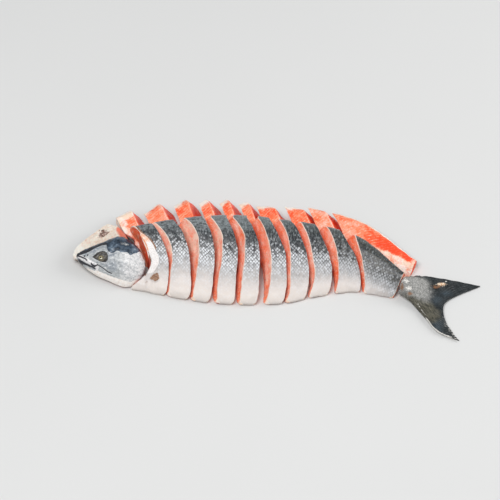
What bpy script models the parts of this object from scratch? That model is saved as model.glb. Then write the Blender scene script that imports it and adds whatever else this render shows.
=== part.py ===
"""A whole salted salmon, split lengthwise, cut in slices and laid out again in the shape of the fish.

The near half lies skin side up. The far half lies flesh side up under it and shows along the back. Each
half has a head, a collar, eight slices and a tail piece, and one tail with its fin ends them both.

The fish is drawn in its own coordinates, in millimetres: s runs from the snout along a curved spine, v runs
across it (positive towards the back) and z is the height above the table. The meshes are in metres.
"""

import math

import bmesh
import bpy
import numpy as np
from mathutils import Matrix, Vector

METRES = 0.001

# Seen from above: the spine of the near half, from the snout to the end of its tail piece
SPINE = [(-316, 0), (-240, -6), (-160, -10), (-80, -13), (0, -14), (70, -10), (118, -14), (150, -28),
         (172, -41), (192, -52), (215, -62)]
# Near half: its edges across the spine, and how thick it is there as a share of the thickest place
BACK_EDGE = [(60, 48), (104, 57), (144, 65.5), (181, 72), (242, 78), (290, 76), (316, 72), (359, 63.5),
             (398, 55), (430, 46), (460, 34), (490, 24), (520, 16)]
BELLY_EDGE = [(60, -39), (104, -44), (144, -52.5), (181, -59.5), (242, -66), (316, -64.5), (359, -57.5),
              (398, -50), (430, -44), (460, -35), (490, -26), (520, -16)]
FULLNESS = [(60, 0.74), (104, 0.86), (150, 0.95), (220, 1.0), (300, 1.0), (360, 0.93), (410, 0.82),
            (460, 0.68), (520, 0.52)]
# Cross section of the near half from belly edge (0) to back edge (1): its underside and its thickness
NEAR_UNDERSIDE = [(0, 0), (0.2, 0.4), (0.35, 6), (0.5, 13.4), (0.65, 20.4), (0.8, 26.4), (0.92, 30),
                  (1, 31)]
NEAR_THICKNESS = [(0, 9), (0.08, 14), (0.2, 19), (0.35, 25), (0.5, 30), (0.65, 32), (0.8, 31), (0.92, 26),
                  (1, 16)]
# The far half shows past the back of the near one. Cross section from its back edge (0) to its belly edge (1)
FAR_STEP = [(60, 44), (400, 44), (430, 40), (460, 37), (520, 40)]
FAR_WIDTH = 133
FAR_TOP = [(0, 23), (0.06, 28), (0.15, 30), (0.3, 30), (0.5, 25), (0.7, 15.5), (0.9, 7), (1, 4.5)]
FAR_UNDERSIDE = [(0, 11), (0.05, 5), (0.11, 1.4), (0.18, 0), (1, 0)]

# Knife cuts of the near half. Each line has the two edges of a piece on the skin, as s at these places across
NEAR_ACROSS = (62, 50, 25, 0, -25, -50, -62)
NEAR_SLICES = [
    ((117, 127, 147, 155, 153, 152, 151), (148, 158, 173, 181, 184, 185, 182)),
    ((170, 181, 194, 196, 193, 190, 189), (198, 206, 216, 220, 219, 217, 215)),
    ((212, 221, 232, 232, 228, 226, 226), (236, 242, 252, 256, 254, 253, 252)),
    ((247, 256, 267, 267, 264, 262, 261), (268, 275, 286, 290, 289, 288, 286)),
    ((287, 294, 303, 308, 307, 303, 300), (305, 311, 322, 330, 330, 327, 324)),
    ((322, 328, 336, 338, 336, 333, 328), (338, 346, 356, 363, 365, 360, 356)),
    ((354, 359, 367, 372, 375, 367, 362), (372, 377, 387, 398, 403, 398, 392)),
    ((386, 392, 403, 411, 415, 412, 408), (400, 406, 420, 441, 458, 465, 466)),
]
NEAR_LEAN = 0.5
COLLAR_FRONT = [(62, 78), (52, 86), (44, 94), (36, 101), (26, 105), (18, 109), (6, 115.5), (-3, 118),
                (-10, 120.5), (-18, 118.5), (-25, 113), (-32, 106), (-38, 98), (-43, 89), (-50, 82)]
COLLAR_FRONT_LEAN = 0.08
COLLAR_BACK = (108, 120, 136, 147, 150, 148, 146)
TAILPIECE_FRONT = (416, 424, 435, 451, 467, 474, 475)
TAILPIECE_END = (516, 516, 516, 515, 512, 508, 506)
# Knife cuts of the far half: where the two edges are 90 mm across, their slants, and how far their outer ends
# stand out
FAR_ACROSS = 90
FAR_SLICES = [
    (104.5, 138, -0.45, -0.45, -8, 7),
    (156, 180, -0.36, -0.30, -2, 8),
    (197.5, 215, -0.38, -0.36, -2, 4),
    (232, 247, -0.38, -0.34, -5, 3),
    (262, 278, -0.36, -0.32, -6, -2),
    (289, 322, -0.35, -0.35, -9, -5),
    (340, 365.5, -0.30, -0.27, -1, -2),
    (372, 393, -0.27, -0.33, 2, 0),
]
FAR_LEAN = 0.7
FAR_COLLAR_FRONT = [(100, 52), (82, 60), (60, 71), (40, 86), (20, 95), (0, 99), (-40, 102)]
FAR_COLLAR_BACK = (86, -0.45)
FAR_COLLAR_TURN = (-6, 3)
FAR_TAILPIECE_FRONT = (399.5, -0.38)
FAR_END = 517
RIM = 1.2  # the soft edge left by the knife

# Heads: outline across the head's own axis, and the dome of the cheek
HEAD_START, HEAD_LENGTH = 6, 113
HEAD_HIGH = [(6, 5), (14, 10.5), (26, 17.5), (42, 25.5), (52, 31), (60, 35.5), (67, 38.5), (74, 38.5),
             (80, 36), (86, 31.5), (93, 26.5), (100, 20), (106, 12), (110, 3), (112.5, -5), (113, -10)]
HEAD_LOW = [(6, 0), (9, -4), (14, -8), (20, -12.6), (26, -16.4), (42, -25), (57, -30.5), (65, -34),
            (73, -37), (82, -39.7), (88, -39), (97, -36), (103, -30.5), (107, -26), (111, -20), (113, -14)]
FAR_HEAD_LENGTH = 89
FAR_HEAD_AT, FAR_HEAD_TURN = (0, 5), math.radians(29)
FAR_HEAD_HIGH = [(0, 2), (3.5, 6), (10, 11), (21, 15.5), (43, 23.5), (65, 30.5), (71, 31.5), (79, 25.5),
                 (87, 12), (89, 0)]
FAR_HEAD_LOW = [(0, -4), (25, -20), (50, -28), (72, -31), (82, -27), (89, -12)]
CHEEK = [(6, 8), (14, 12), (26, 16), (46, 20), (70, 24), (92, 25), (104, 20), (113, 11)]
SPLIT_PLANE = [(-45, 1.5), (-25, 6), (0, 15), (20, 20), (35, 22), (80, 22)]
EYE_AT, EYE_RADIUS = (45, -6), 8.0
MOUTH = [(9, -3), (18, -10), (26, -15), (34, -19)]
JAW = [(29, -12), (36, -15.5), (42, -18.5), (51, -24.5), (60, -29)]
MOUTH_DEPTH = 1.2
PECTORAL_STUB_AT, PECTORAL_STUB_RADIUS = (128.5, -31), 6.0

# Tail, seen from above: its two edges from the cut (0) to the tips (1), and where the fork is
TAIL_UPPER = [(0, 200, -35), (0.15, 214, -31), (0.3, 231, -28), (0.5, 257, -32), (0.75, 286, -38),
              (1, 314, -44)]
TAIL_LOWER = [(0, 188, -62), (0.15, 200, -71), (0.3, 211, -82), (0.5, 228, -106), (0.75, 247, -133),
              (1, 279, -149)]
FORK = 0.66
TAIL_THICKNESS = [(0, 25), (0.15, 21), (0.3, 13), (0.4, 6), (0.55, 3.4), (0.8, 2.2), (1, 1.8)]
TAIL_UNDERSIDE = [(0, 0.5), (0.3, 0.5), (0.5, 2.5), (1, 1.5)]

COLOURS = {
    "skin": ((0.42, 0.44, 0.46), 0.32, 0.35),
    "flesh": ((0.90, 0.26, 0.14), 0.42, 0.0),
    "split_bone": ((0.86, 0.72, 0.62), 0.45, 0.0),
    "fin": ((0.10, 0.12, 0.14), 0.40, 0.1),
}


def through(points, x):
    """A smooth curve through (x, value) points, level where the points are."""
    xs, ys = np.array(points, float).T
    slopes = np.gradient(ys, xs)
    steps = np.diff(ys) / np.diff(xs)
    limit = 3 * np.minimum(abs(np.append(steps, steps[-1])), abs(np.insert(steps, 0, steps[0])))
    slopes = np.clip(slopes, -limit, limit)
    x = np.clip(x, xs[0], xs[-1])
    i = np.clip(np.searchsorted(xs, x) - 1, 0, len(xs) - 2)
    width = xs[i + 1] - xs[i]
    t = (x - xs[i]) / width
    start = (1 + 2 * t) * (1 - t) ** 2 * ys[i] + t * (1 - t) ** 2 * width * slopes[i]
    return start + t * t * (3 - 2 * t) * ys[i + 1] + t * t * (t - 1) * width * slopes[i + 1]


class Spine:
    """Turns (s, v, z) along the curved fish into a place above the table."""

    def __init__(self, points):
        across = [p[0] for p in points]
        x = np.linspace(across[0], across[-1], 400)
        y = through(points, x)
        self.x, self.y = x, y
        self.s = np.insert(np.cumsum(np.hypot(np.diff(x), np.diff(y))), 0, 0.0)
        turn = np.arctan2(np.gradient(y, self.s), np.gradient(x, self.s))
        self.turn = np.convolve(np.pad(turn, 20, mode="edge"), np.ones(41) / 41, mode="valid")

    def place(self, s, v, z):
        turn = np.interp(s, self.s, self.turn)
        past = np.clip(s - self.s[-1], 0, None) + np.clip(s, None, 0)
        x = np.interp(s, self.s, self.x) + past * np.cos(turn) - v * np.sin(turn)
        y = np.interp(s, self.s, self.y) + past * np.sin(turn) + v * np.cos(turn)
        return np.stack(np.broadcast_arrays(x, y, z), axis=-1)


FISH = Spine(SPINE)


def rounded(t, end):
    """0 at either edge of a section and 1 inside, with a quarter ellipse of that width between them."""
    inside = np.clip(np.minimum(t, 1 - t) / end, 0, 1)
    return np.sqrt(1 - (1 - inside) ** 2)


def near_section(s, t):
    """The near half at station s: how far across, top and underside for t from belly edge to back edge."""
    across = through(BELLY_EDGE, s) * (1 - t) + through(BACK_EDGE, s) * t
    fullness = through(FULLNESS, s)
    under = through(NEAR_UNDERSIDE, t)
    edge = under + 0.45 * through(NEAR_THICKNESS, t)
    soft = 0.3 + 0.7 * rounded(t, 0.09)
    top = edge + (0.55 * through(NEAR_THICKNESS, t)) * soft
    bottom = edge - (0.45 * through(NEAR_THICKNESS, t)) * soft
    bottom = np.maximum(bottom, 0.3 * (1 - soft))
    return across, top * fullness, bottom * fullness


def far_section(s, t, turned=0.0):
    """The far half at station s, for t from its back edge to its belly edge."""
    width = FAR_WIDTH * (through(BACK_EDGE, s) - through(BELLY_EDGE, s)) / 140
    outer = through(BACK_EDGE, s) + through(FAR_STEP, s)
    across = outer - width * t + turned * (1 - t)
    fullness = through(FULLNESS, s)
    top = through(FAR_TOP, t) * fullness
    bottom = through(FAR_UNDERSIDE, t) * fullness
    return across, top, bottom


def knife(stations):
    """A cut along the skin of the near half, as s for each place across."""
    table = sorted(zip(NEAR_ACROSS, stations))
    return lambda v: through(table, v)


def slanted(station, slant):
    """A straight cut of the far half."""
    return lambda v: station + slant * (v - FAR_ACROSS)


def curved(table):
    """A cut that follows a curve given as (across, s) points."""
    return lambda v: through(sorted(table), v)


def edge_spaced(count):
    """Steps from 0 to 1 that crowd towards both ends."""
    return 0.5 - 0.5 * np.cos(np.linspace(0, math.pi, count))


def material(name):
    colour, roughness, metallic = COLOURS[name]
    made = bpy.data.materials.get(name) or bpy.data.materials.new(name)
    made.use_nodes = True
    shader = made.node_tree.nodes["Principled BSDF"]
    shader.inputs["Base Color"].default_value = (*colour, 1)
    shader.inputs["Roughness"].default_value = roughness
    shader.inputs["Metallic"].default_value = metallic
    return made


def between(name, top, bottom, top_material, side_material, bottom_material):
    """A closed solid between two grids of points, with a wall all round."""
    rows, columns = top.shape[:2]
    size = rows * columns
    index = np.arange(size).reshape(rows, columns)
    faces, kinds = [], []
    for i in range(rows - 1):
        for j in range(columns - 1):
            a, b, c, d = index[i, j], index[i + 1, j], index[i + 1, j + 1], index[i, j + 1]
            faces += [(a, b, c, d), (a + size, d + size, c + size, b + size)]
            kinds += [0, 2]
    border = [*index[0, :-1], *index[:-1, -1], *index[-1, :0:-1], *index[:0:-1, 0]]
    for a, b in zip(border, border[1:] + border[:1]):
        faces.append((a, b, b + size, a + size))
        kinds.append(1)
    points = np.concatenate([top.reshape(-1, 3), bottom.reshape(-1, 3)]) * METRES
    mesh = bpy.data.meshes.new(name)
    mesh.from_pydata(points.tolist(), [], [[int(i) for i in face] for face in faces])
    slots = [top_material, side_material, bottom_material]
    used = list(dict.fromkeys(slots))
    for slot in used:
        mesh.materials.append(material(slot))
    mesh.polygons.foreach_set("material_index", [used.index(slots[kind]) for kind in kinds])
    cleaned = bmesh.new()
    cleaned.from_mesh(mesh)
    bmesh.ops.recalc_face_normals(cleaned, faces=cleaned.faces)
    cleaned.to_mesh(mesh)
    cleaned.free()
    finish_shading(mesh)
    made = bpy.data.objects.new(name, mesh)
    FISH_PARTS.objects.link(made)
    return made


def finish_shading(mesh):
    mesh.shade_smooth()
    mesh.set_sharp_from_angle(angle=math.radians(48))


def piece(name, section, start, end, leans, columns, rows, materials):
    """The part of a half fish between two cuts, each leaning by so much for a millimetre of height."""
    length = end(0.0) - start(0.0)
    u = np.unique(np.concatenate([[0, RIM / length], np.linspace(0, 1, rows)[1:-1], [1 - RIM / length, 1]]))
    u, t = np.meshgrid(u, edge_spaced(columns), indexing="ij")
    soft = ((u == 0) | (u == 1)) * RIM
    station = start(0.0) * (1 - u) + end(0.0) * u
    for _ in range(6):
        v = section(station, t, u)[0]
        station = 0.5 * station + 0.5 * (start(v) * (1 - u) + end(v) * u)
    v, top, bottom = section(station, t, u)
    lean = leans[0] * (1 - u) + leans[1] * u
    under = station - lean * (top - bottom)
    v_under, _, bottom = section(under, t, u)
    top, bottom = top - soft * 0.7, bottom + soft * 0.4
    bottom = np.clip(bottom, 0, top - 1.2)
    return between(name, FISH.place(station, v, top), FISH.place(under, v_under, bottom), *materials)


def near(s, t, u):
    return near_section(s, t)


def far(turns):
    """The far half where the outer end of a slice is turned by so much at its two edges."""
    return lambda s, t, u: far_section(s, t, turns[0] * (1 - u) + turns[1] * u)


def build_near_half():
    look = ("skin", "flesh", "flesh")
    leans = (NEAR_LEAN, NEAR_LEAN)
    collar = piece("collar_near", near, curved(COLLAR_FRONT), knife(COLLAR_BACK),
                   (COLLAR_FRONT_LEAN, NEAR_LEAN), 17, 7, look)
    for number, (start, end) in enumerate(NEAR_SLICES, 1):
        piece(f"slice_near_{number}", near, knife(start), knife(end), leans, 15, 4, look)
    piece("tailpiece_near", near, knife(TAILPIECE_FRONT), knife(TAILPIECE_END), (NEAR_LEAN, 0.1), 15, 8, look)
    return collar


def build_far_half():
    look = ("flesh", "flesh", "skin")
    leans = (-FAR_LEAN, -FAR_LEAN)
    piece("collar_far", far(FAR_COLLAR_TURN), curved(FAR_COLLAR_FRONT), slanted(*FAR_COLLAR_BACK),
          (0, -FAR_LEAN), 15, 5, look)
    for number, (start, end, slant, end_slant, turn, end_turn) in enumerate(FAR_SLICES, 1):
        piece(f"slice_far_{number}", far((turn, end_turn)), slanted(start, slant), slanted(end, end_slant),
              leans, 15, 4, look)
    piece("tailpiece_far", far((0, 0)), slanted(*FAR_TAILPIECE_FRONT),
          curved([(-40, FAR_END + 4), (80, FAR_END)]), (-FAR_LEAN, 0), 15, 9, look)


def head_grid(start, length, high, low, rows, columns):
    """Stations along a head and places across it, crowded at the edges."""
    u, t = np.meshgrid(edge_spaced(rows), edge_spaced(columns), indexing="ij")
    along = start + u * (length - start)
    across = through(low, along) * (1 - t) + through(high, along) * t
    return along, across, t


def build_near_head():
    along, across, t = head_grid(HEAD_START, HEAD_LENGTH, HEAD_HIGH, HEAD_LOW, 22, 17)
    under = through(SPLIT_PLANE, across) + 0.6
    dome = (1 - abs(2 * t - 1) ** 2.4) ** 0.6
    top = under + 3 + (through(CHEEK, along) - 3) * dome
    head = between("head_near", FISH.place(along, across, top), FISH.place(along, across, under),
                   "skin", "split_bone", "split_bone")
    add_eye(head)
    for line in (MOUTH, JAW):
        cut_groove(head, line)
    finish_shading(head.data)
    return head


def on_head(along, across):
    """A point of the near head's surface, in metres."""
    low, high = through(HEAD_LOW, along), through(HEAD_HIGH, along)
    t = (across - low) / (high - low)
    dome = (1 - abs(2 * t - 1) ** 2.4) ** 0.6
    top = through(SPLIT_PLANE, across) + 3.6 + (through(CHEEK, along) - 3) * dome
    return Vector(FISH.place(along, across, top)) * METRES


def add_eye(head):
    middle = on_head(*EYE_AT) - Vector((0, 0, 0.72 * EYE_RADIUS * METRES))
    bpy.ops.mesh.primitive_uv_sphere_add(segments=16, ring_count=10, radius=EYE_RADIUS * METRES,
                                         location=middle)
    eye = bpy.context.object
    eye.scale = (1.0, 0.82, 1.0)
    combine(head, eye, "UNION")


def cut_groove(head, places):
    """A groove along the jaw, cut by a thin bent rod that lies half in the surface."""
    line = bpy.data.curves.new("groove_line", "CURVE")
    line.dimensions = "3D"
    line.bevel_depth = MOUTH_DEPTH * METRES
    line.bevel_resolution = 1
    line.use_fill_caps = True
    spline = line.splines.new("POLY")
    spline.points.add(len(places) - 1)
    for point, (along, across) in zip(spline.points, places):
        point.co = (*on_head(along, across), 1)
    rod = bpy.data.objects.new("groove_line", line)
    bpy.context.collection.objects.link(rod)
    bpy.context.view_layer.update()
    mesh = bpy.data.meshes.new_from_object(rod.evaluated_get(bpy.context.evaluated_depsgraph_get()))
    bpy.data.objects.remove(rod)
    closed = bmesh.new()
    closed.from_mesh(mesh)
    bmesh.ops.remove_doubles(closed, verts=closed.verts, dist=1e-6)
    closed.to_mesh(mesh)
    closed.free()
    cutter = bpy.data.objects.new("groove_cutter", mesh)
    bpy.context.collection.objects.link(cutter)
    combine(head, cutter, "DIFFERENCE")


def combine(target, other, operation):
    """Applies one Boolean and removes the other object."""
    step = target.modifiers.new("combine", "BOOLEAN")
    step.operation = operation
    step.object = other
    bpy.context.view_layer.update()
    evaluated = target.evaluated_get(bpy.context.evaluated_depsgraph_get())
    joined = bpy.data.meshes.new_from_object(evaluated)
    target.modifiers.clear()
    target.data = joined
    bpy.data.objects.remove(other)


def build_far_head():
    """The other half of the head, cut side up: its brain case shows above the near head."""
    along, across, t = head_grid(0, FAR_HEAD_LENGTH, FAR_HEAD_HIGH, FAR_HEAD_LOW, 14, 13)
    turn, sway = math.cos(FAR_HEAD_TURN), math.sin(FAR_HEAD_TURN)
    s = FAR_HEAD_AT[0] + along * turn - across * sway
    v = FAR_HEAD_AT[1] + along * sway + across * turn
    top = through(SPLIT_PLANE, v)
    dome = (1 - abs(2 * t - 1) ** 2.4) ** 0.6
    deep = 3 + (through(CHEEK, along * HEAD_LENGTH / FAR_HEAD_LENGTH) - 3) * dome
    bottom = np.minimum(np.maximum(top - deep, 0), top - 1.2)
    return between("head_far", FISH.place(s, v, top), FISH.place(s, v, bottom), "split_bone", "skin", "skin")


def build_tail():
    """The stalk of the tail and its forked fin, as one fan of rows from the cut to the trailing edge."""
    w = np.sin(np.linspace(-math.pi / 2, math.pi / 2, 21))
    u, w = np.meshgrid(np.linspace(0, 1, 17), w, indexing="ij")
    along = u * (FORK + (1 - FORK) * abs(w) ** 1.7)
    share = 0.5 + 0.5 * w
    edges = []
    for axis in (1, 2):
        upper = through([(p[0], p[axis]) for p in TAIL_UPPER], along)
        lower = through([(p[0], p[axis]) for p in TAIL_LOWER], along)
        edges.append(lower * (1 - share) + upper * share)
    x, y = edges
    thick = through(TAIL_THICKNESS, along)
    stalk = np.clip((0.5 - along) / 0.25, 0, 1)
    round_off = 1 - stalk * (1 - np.sqrt(1 - 0.94 * w * w))
    under = through(TAIL_UNDERSIDE, along) + stalk * 0.35 * thick * (1 - round_off)
    thick = np.maximum(thick * round_off, 1.5)
    return between("tail", np.stack([x, y, under + thick], axis=-1), np.stack([x, y, under], axis=-1),
                   "fin", "skin", "skin")


def add_pectoral_stub(collar):
    """The root of the pectoral fin, cut off short."""
    along, across = PECTORAL_STUB_AT
    t = (across - through(BELLY_EDGE, along)) / (through(BACK_EDGE, along) - through(BELLY_EDGE, along))
    height = near_section(along, t)[1]
    place = Vector(FISH.place(along, across, height - 1.5)) * METRES
    bpy.ops.mesh.primitive_cone_add(vertices=14, radius1=1.15 * PECTORAL_STUB_RADIUS * METRES,
                                    radius2=PECTORAL_STUB_RADIUS * METRES, depth=9 * METRES, location=place,
                                    rotation=(math.radians(24), 0, 0))
    combine(collar, bpy.context.object, "UNION")
    finish_shading(collar.data)


def stand_on_origin():
    """Puts the middle of the fish's footprint on the origin, and each piece's own origin in its middle."""
    corners = np.array([v.co for o in FISH_PARTS.objects for v in o.data.vertices])
    low, high = corners.min(axis=0), corners.max(axis=0)
    middle = Vector(((low[0] + high[0]) / 2, (low[1] + high[1]) / 2, low[2]))
    for o in FISH_PARTS.objects:
        own = sum((v.co for v in o.data.vertices), Vector()) / len(o.data.vertices)
        o.data.transform(Matrix.Translation(-own))
        o.location = own - middle


for old in list(bpy.data.objects):
    bpy.data.objects.remove(old)
FISH_PARTS = bpy.data.collections.new("sliced_salmon")
bpy.context.scene.collection.children.link(FISH_PARTS)
build_near_head()
build_far_head()
add_pectoral_stub(build_near_half())
build_far_half()
build_tail()
stand_on_origin()
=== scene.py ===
"""The looks of the sliced salmon: every solid is replaced by a finer piece with skin, flesh and bone.

Lengths are millimetres in the fish's own coordinates, as in the solids: s runs from the snout along a curved
spine, v runs across it (positive towards the back) and z is the height. Meshes are in metres.
"""

import math

import bpy
import numpy as np
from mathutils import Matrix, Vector


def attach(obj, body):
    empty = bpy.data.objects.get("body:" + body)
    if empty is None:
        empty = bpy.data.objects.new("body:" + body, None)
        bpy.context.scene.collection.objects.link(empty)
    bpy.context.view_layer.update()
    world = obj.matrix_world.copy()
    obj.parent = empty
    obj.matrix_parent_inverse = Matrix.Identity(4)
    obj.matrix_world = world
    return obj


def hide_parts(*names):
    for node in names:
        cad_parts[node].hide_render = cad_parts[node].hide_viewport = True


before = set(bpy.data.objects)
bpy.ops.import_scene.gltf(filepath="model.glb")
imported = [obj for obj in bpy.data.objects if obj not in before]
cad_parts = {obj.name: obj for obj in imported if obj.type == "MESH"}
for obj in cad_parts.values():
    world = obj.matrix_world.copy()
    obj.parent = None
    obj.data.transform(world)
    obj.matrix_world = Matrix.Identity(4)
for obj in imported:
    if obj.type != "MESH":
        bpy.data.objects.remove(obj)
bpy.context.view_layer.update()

METRES = 0.001
# From the fish's own plan to the shared frame, whose origin is the middle of the footprint
SHIFT = (1.2, 18.2, 0.0)

# Seen from above: the spine of the near half, from the snout to the end of its tail piece
SPINE = [(-316, 0), (-240, -6), (-160, -10), (-80, -13), (0, -14), (70, -10), (118, -14), (150, -28),
         (172, -41), (192, -52), (215, -62)]
# Near half: its edges across the spine, and how thick it is there as a share of the thickest place
BACK_EDGE = [(60, 48), (104, 57), (144, 65.5), (181, 72), (242, 78), (290, 76), (316, 72), (359, 63.5),
             (398, 55), (430, 46), (460, 34), (490, 24), (520, 16)]
BELLY_EDGE = [(60, -39), (104, -44), (144, -52.5), (181, -59.5), (242, -66), (316, -64.5), (359, -57.5),
              (398, -50), (430, -44), (460, -35), (490, -26), (520, -16)]
FULLNESS = [(60, 0.74), (104, 0.86), (150, 0.95), (220, 1.0), (300, 1.0), (360, 0.93), (410, 0.82),
            (460, 0.68), (520, 0.52)]
FULL_WIDTH = 140
# Cross section of the near half, from belly edge (0) to back edge (1)
NEAR_UNDERSIDE = [(0, 0), (0.2, 0.4), (0.35, 6), (0.5, 13.4), (0.65, 20.4), (0.8, 26.4), (0.92, 30),
                  (1, 31)]
NEAR_THICKNESS = [(0, 9), (0.08, 14), (0.2, 19), (0.35, 25), (0.5, 30), (0.65, 32), (0.8, 31), (0.92, 26),
                  (1, 16)]
# Its rounded edges: how wide each is, how much of the thickness is left there, and what share of that lies
# below the edge
EDGE_WIDTH, EDGE_SHARE, BELOW_EDGE = 0.09, 0.3, 0.45
# Cross section of the far half, from back edge (0) to belly edge (1), and how far it stands out behind
FAR_STEP = [(60, 44), (400, 44), (430, 40), (460, 37), (520, 40)]
FAR_WIDTH = 133
FAR_TOP = [(0, 23), (0.06, 28), (0.15, 30), (0.3, 30), (0.5, 25), (0.7, 15.5), (0.9, 7), (1, 4.5)]
FAR_UNDERSIDE = [(0, 11), (0.05, 5), (0.11, 1.4), (0.18, 0), (1, 0)]
THINNEST = 1.2

# Knife cuts of the near half. Each line has the two edges of a piece on the skin, as s at these places across
NEAR_ACROSS = (62, 50, 25, 0, -25, -50, -62)
NEAR_SLICES = [
    ((117, 127, 147, 155, 153, 152, 151), (148, 158, 173, 181, 184, 185, 182)),
    ((170, 181, 194, 196, 193, 190, 189), (198, 206, 216, 220, 219, 217, 215)),
    ((212, 221, 232, 232, 228, 226, 226), (236, 242, 252, 256, 254, 253, 252)),
    ((247, 256, 267, 267, 264, 262, 261), (268, 275, 286, 290, 289, 288, 286)),
    ((287, 294, 303, 308, 307, 303, 300), (305, 311, 322, 330, 330, 327, 324)),
    ((322, 328, 336, 338, 336, 333, 328), (338, 346, 356, 363, 365, 360, 356)),
    ((354, 359, 367, 372, 375, 367, 362), (372, 377, 387, 398, 403, 398, 392)),
    ((386, 392, 403, 411, 415, 412, 408), (400, 406, 420, 441, 458, 465, 466)),
]
NEAR_LEAN = 0.5
COLLAR_FRONT = [(62, 78), (52, 86), (44, 94), (36, 101), (26, 105), (18, 109), (6, 115.5), (-3, 118),
                (-10, 120.5), (-18, 118.5), (-25, 113), (-32, 106), (-38, 98), (-43, 89), (-50, 82)]
COLLAR_FRONT_LEAN = 0.08
COLLAR_BACK = (108, 120, 136, 147, 150, 148, 146)
TAILPIECE_FRONT = (416, 424, 435, 451, 467, 474, 475)
TAILPIECE_END = (516, 516, 516, 515, 512, 508, 506)
# Knife cuts of the far half: where the two edges are 90 mm across, their slants, and how far their outer ends
# stand out
FAR_ACROSS = 90
FAR_SLICES = [
    (104.5, 138, -0.45, -0.45, -8, 7),
    (156, 180, -0.36, -0.30, -2, 8),
    (197.5, 215, -0.38, -0.36, -2, 4),
    (232, 247, -0.38, -0.34, -5, 3),
    (262, 278, -0.36, -0.32, -6, -2),
    (289, 322, -0.35, -0.35, -9, -5),
    (340, 365.5, -0.30, -0.27, -1, -2),
    (372, 393, -0.27, -0.33, 2, 0),
]
FAR_LEAN = 0.7
FAR_COLLAR_FRONT = [(100, 52), (82, 60), (60, 71), (40, 86), (20, 95), (0, 99), (-40, 102)]
FAR_COLLAR_BACK = (86, -0.45)
FAR_COLLAR_TURN = (-6, 3)
FAR_TAILPIECE_FRONT = (399.5, -0.38)
FAR_END = 517

# Heads: outline across the head's own axis, and the dome of the cheek
HEAD_START, HEAD_LENGTH = 6, 113
HEAD_HIGH = [(6, 5), (14, 10.5), (26, 17.5), (42, 25.5), (52, 31), (60, 35.5), (67, 38.5), (74, 38.5),
             (80, 36), (86, 31.5), (93, 26.5), (100, 20), (106, 12), (110, 3), (112.5, -5), (113, -10)]
HEAD_LOW = [(6, 0), (9, -4), (14, -8), (20, -12.6), (26, -16.4), (42, -25), (57, -30.5), (65, -34),
            (73, -37), (82, -39.7), (88, -39), (97, -36), (103, -30.5), (107, -26), (111, -20), (113, -14)]
FAR_HEAD_LENGTH = 89
FAR_HEAD_AT, FAR_HEAD_TURN = (0, 5), math.radians(29)
FAR_HEAD_HIGH = [(0, 2), (3.5, 6), (10, 11), (21, 15.5), (43, 23.5), (65, 30.5), (71, 31.5), (79, 25.5),
                 (87, 12), (89, 0)]
FAR_HEAD_LOW = [(0, -4), (25, -20), (50, -28), (72, -31), (82, -27), (89, -12)]
CHEEK = [(6, 8), (14, 12), (26, 16), (46, 20), (70, 24), (92, 25), (104, 20), (113, 11)]
CHEEK_EDGE = 3
SPLIT_PLANE = [(-45, 1.5), (-25, 6), (0, 15), (20, 20), (35, 22), (80, 22)]
SPLIT_GAP = 0.6

# The face, as (along, across) on the near head
EYE_AT, EYE_RADIUS, EYE_SCALE, EYE_SUNK = (46, -6.2), 8.6, (1.0, 0.82, 0.9), 0.82
PUPIL_OFFSET = (-0.30, -0.17)
EYE_RIM = [(31.2, -5.6), (34.4, -3.2), (38.7, 0.6), (43.2, 2.4), (48.9, 2.4), (53.2, -0.8), (54.9, -5.2),
           (54.9, -10.4), (52.3, -13), (46.6, -12.6), (40.8, -10.2), (36.1, -8.4)]
NOSTRILS = [(23.1, -2.0), (18.2, -2.8)]
MOUTH = [(7.5, -3.5), (9.6, -4.6), (14.3, -7.8), (20.3, -11.4), (26.3, -14.5), (31, -16.8), (36, -19.2)]
LIP = [(9.2, -0.9), (15.2, -3.7), (20.5, -6.6), (22.6, -8.5)]
JAW_JOINT = [(30, -13.2), (33, -15.6), (36, -16.6), (39.5, -15.8)]
MAXILLA = [(39.5, -15.8), (44.9, -18.2), (50.6, -21.3), (56, -24.5), (62.4, -27.2)]
CHEEK_SEAM = [(88.9, 2), (89.9, -9.1), (89.9, -17.3), (87, -24.7), (78.4, -29.8), (67.1, -28.2)]
GILL_SEAM = [(91, -12), (100, -15), (111, -19)]
# Below these lines, as (along, across), the head turns from dark cap to silver and from silver to cream
CAP_EDGE = [(6, -2), (9, -0.6), (14.7, 0.1), (23.7, 2.3), (34.6, 8.5), (44.7, 13.5), (51, 13.4),
            (53.2, 5.5), (57, 0.3), (62.8, -1.1), (67.1, 1.5), (76.5, -0.3), (83.3, -0.3), (90.4, -4.3),
            (94.6, -1.6), (101.3, 3.5), (103.8, 7.6), (113, 12)]
CREAM_EDGE = [(6, -3), (10, -5), (35.3, -19.1), (42.9, -22.6), (53.4, -26.4), (62.6, -29.8), (74.1, -33.8),
              (85.5, -36.5), (96.6, -34.6), (103, -29.5), (113, -26)]
# Light places on the dark cap, as (along, across, size)
CAP_LIGHTS = [(58.8, 7.4, 4), (64.3, 10.9, 5), (76.5, 14.8, 6), (69.4, 2.0, 4), (84, 14, 5), (90, 2, 4),
              (24, 9, 5), (36, 17, 6), (14, 5, 4), (96, 12, 4)]
# Grey marks on the cheek, as (along, across, size, strength)
CHEEK_MARKS = [(64, -15.5, 6, 0.55), (73, -16, 4, 0.5), (82, -17.5, 5, 0.5), (66, -22, 6, 0.65),
               (80, -25.6, 5, 0.4), (90.8, -11, 3, 0.8), (57, -18, 5, 0.7), (33, -15, 4, 0.9),
               (59, -6, 5, 0.6), (49, -15, 5, 0.5), (36, 2, 5, 0.5), (28, -4, 4, 0.5), (48, 7, 6, 0.35),
               (70, -6, 6, 0.25), (101, -13, 2.5, 0.5), (97, -22, 3, 0.4)]
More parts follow.
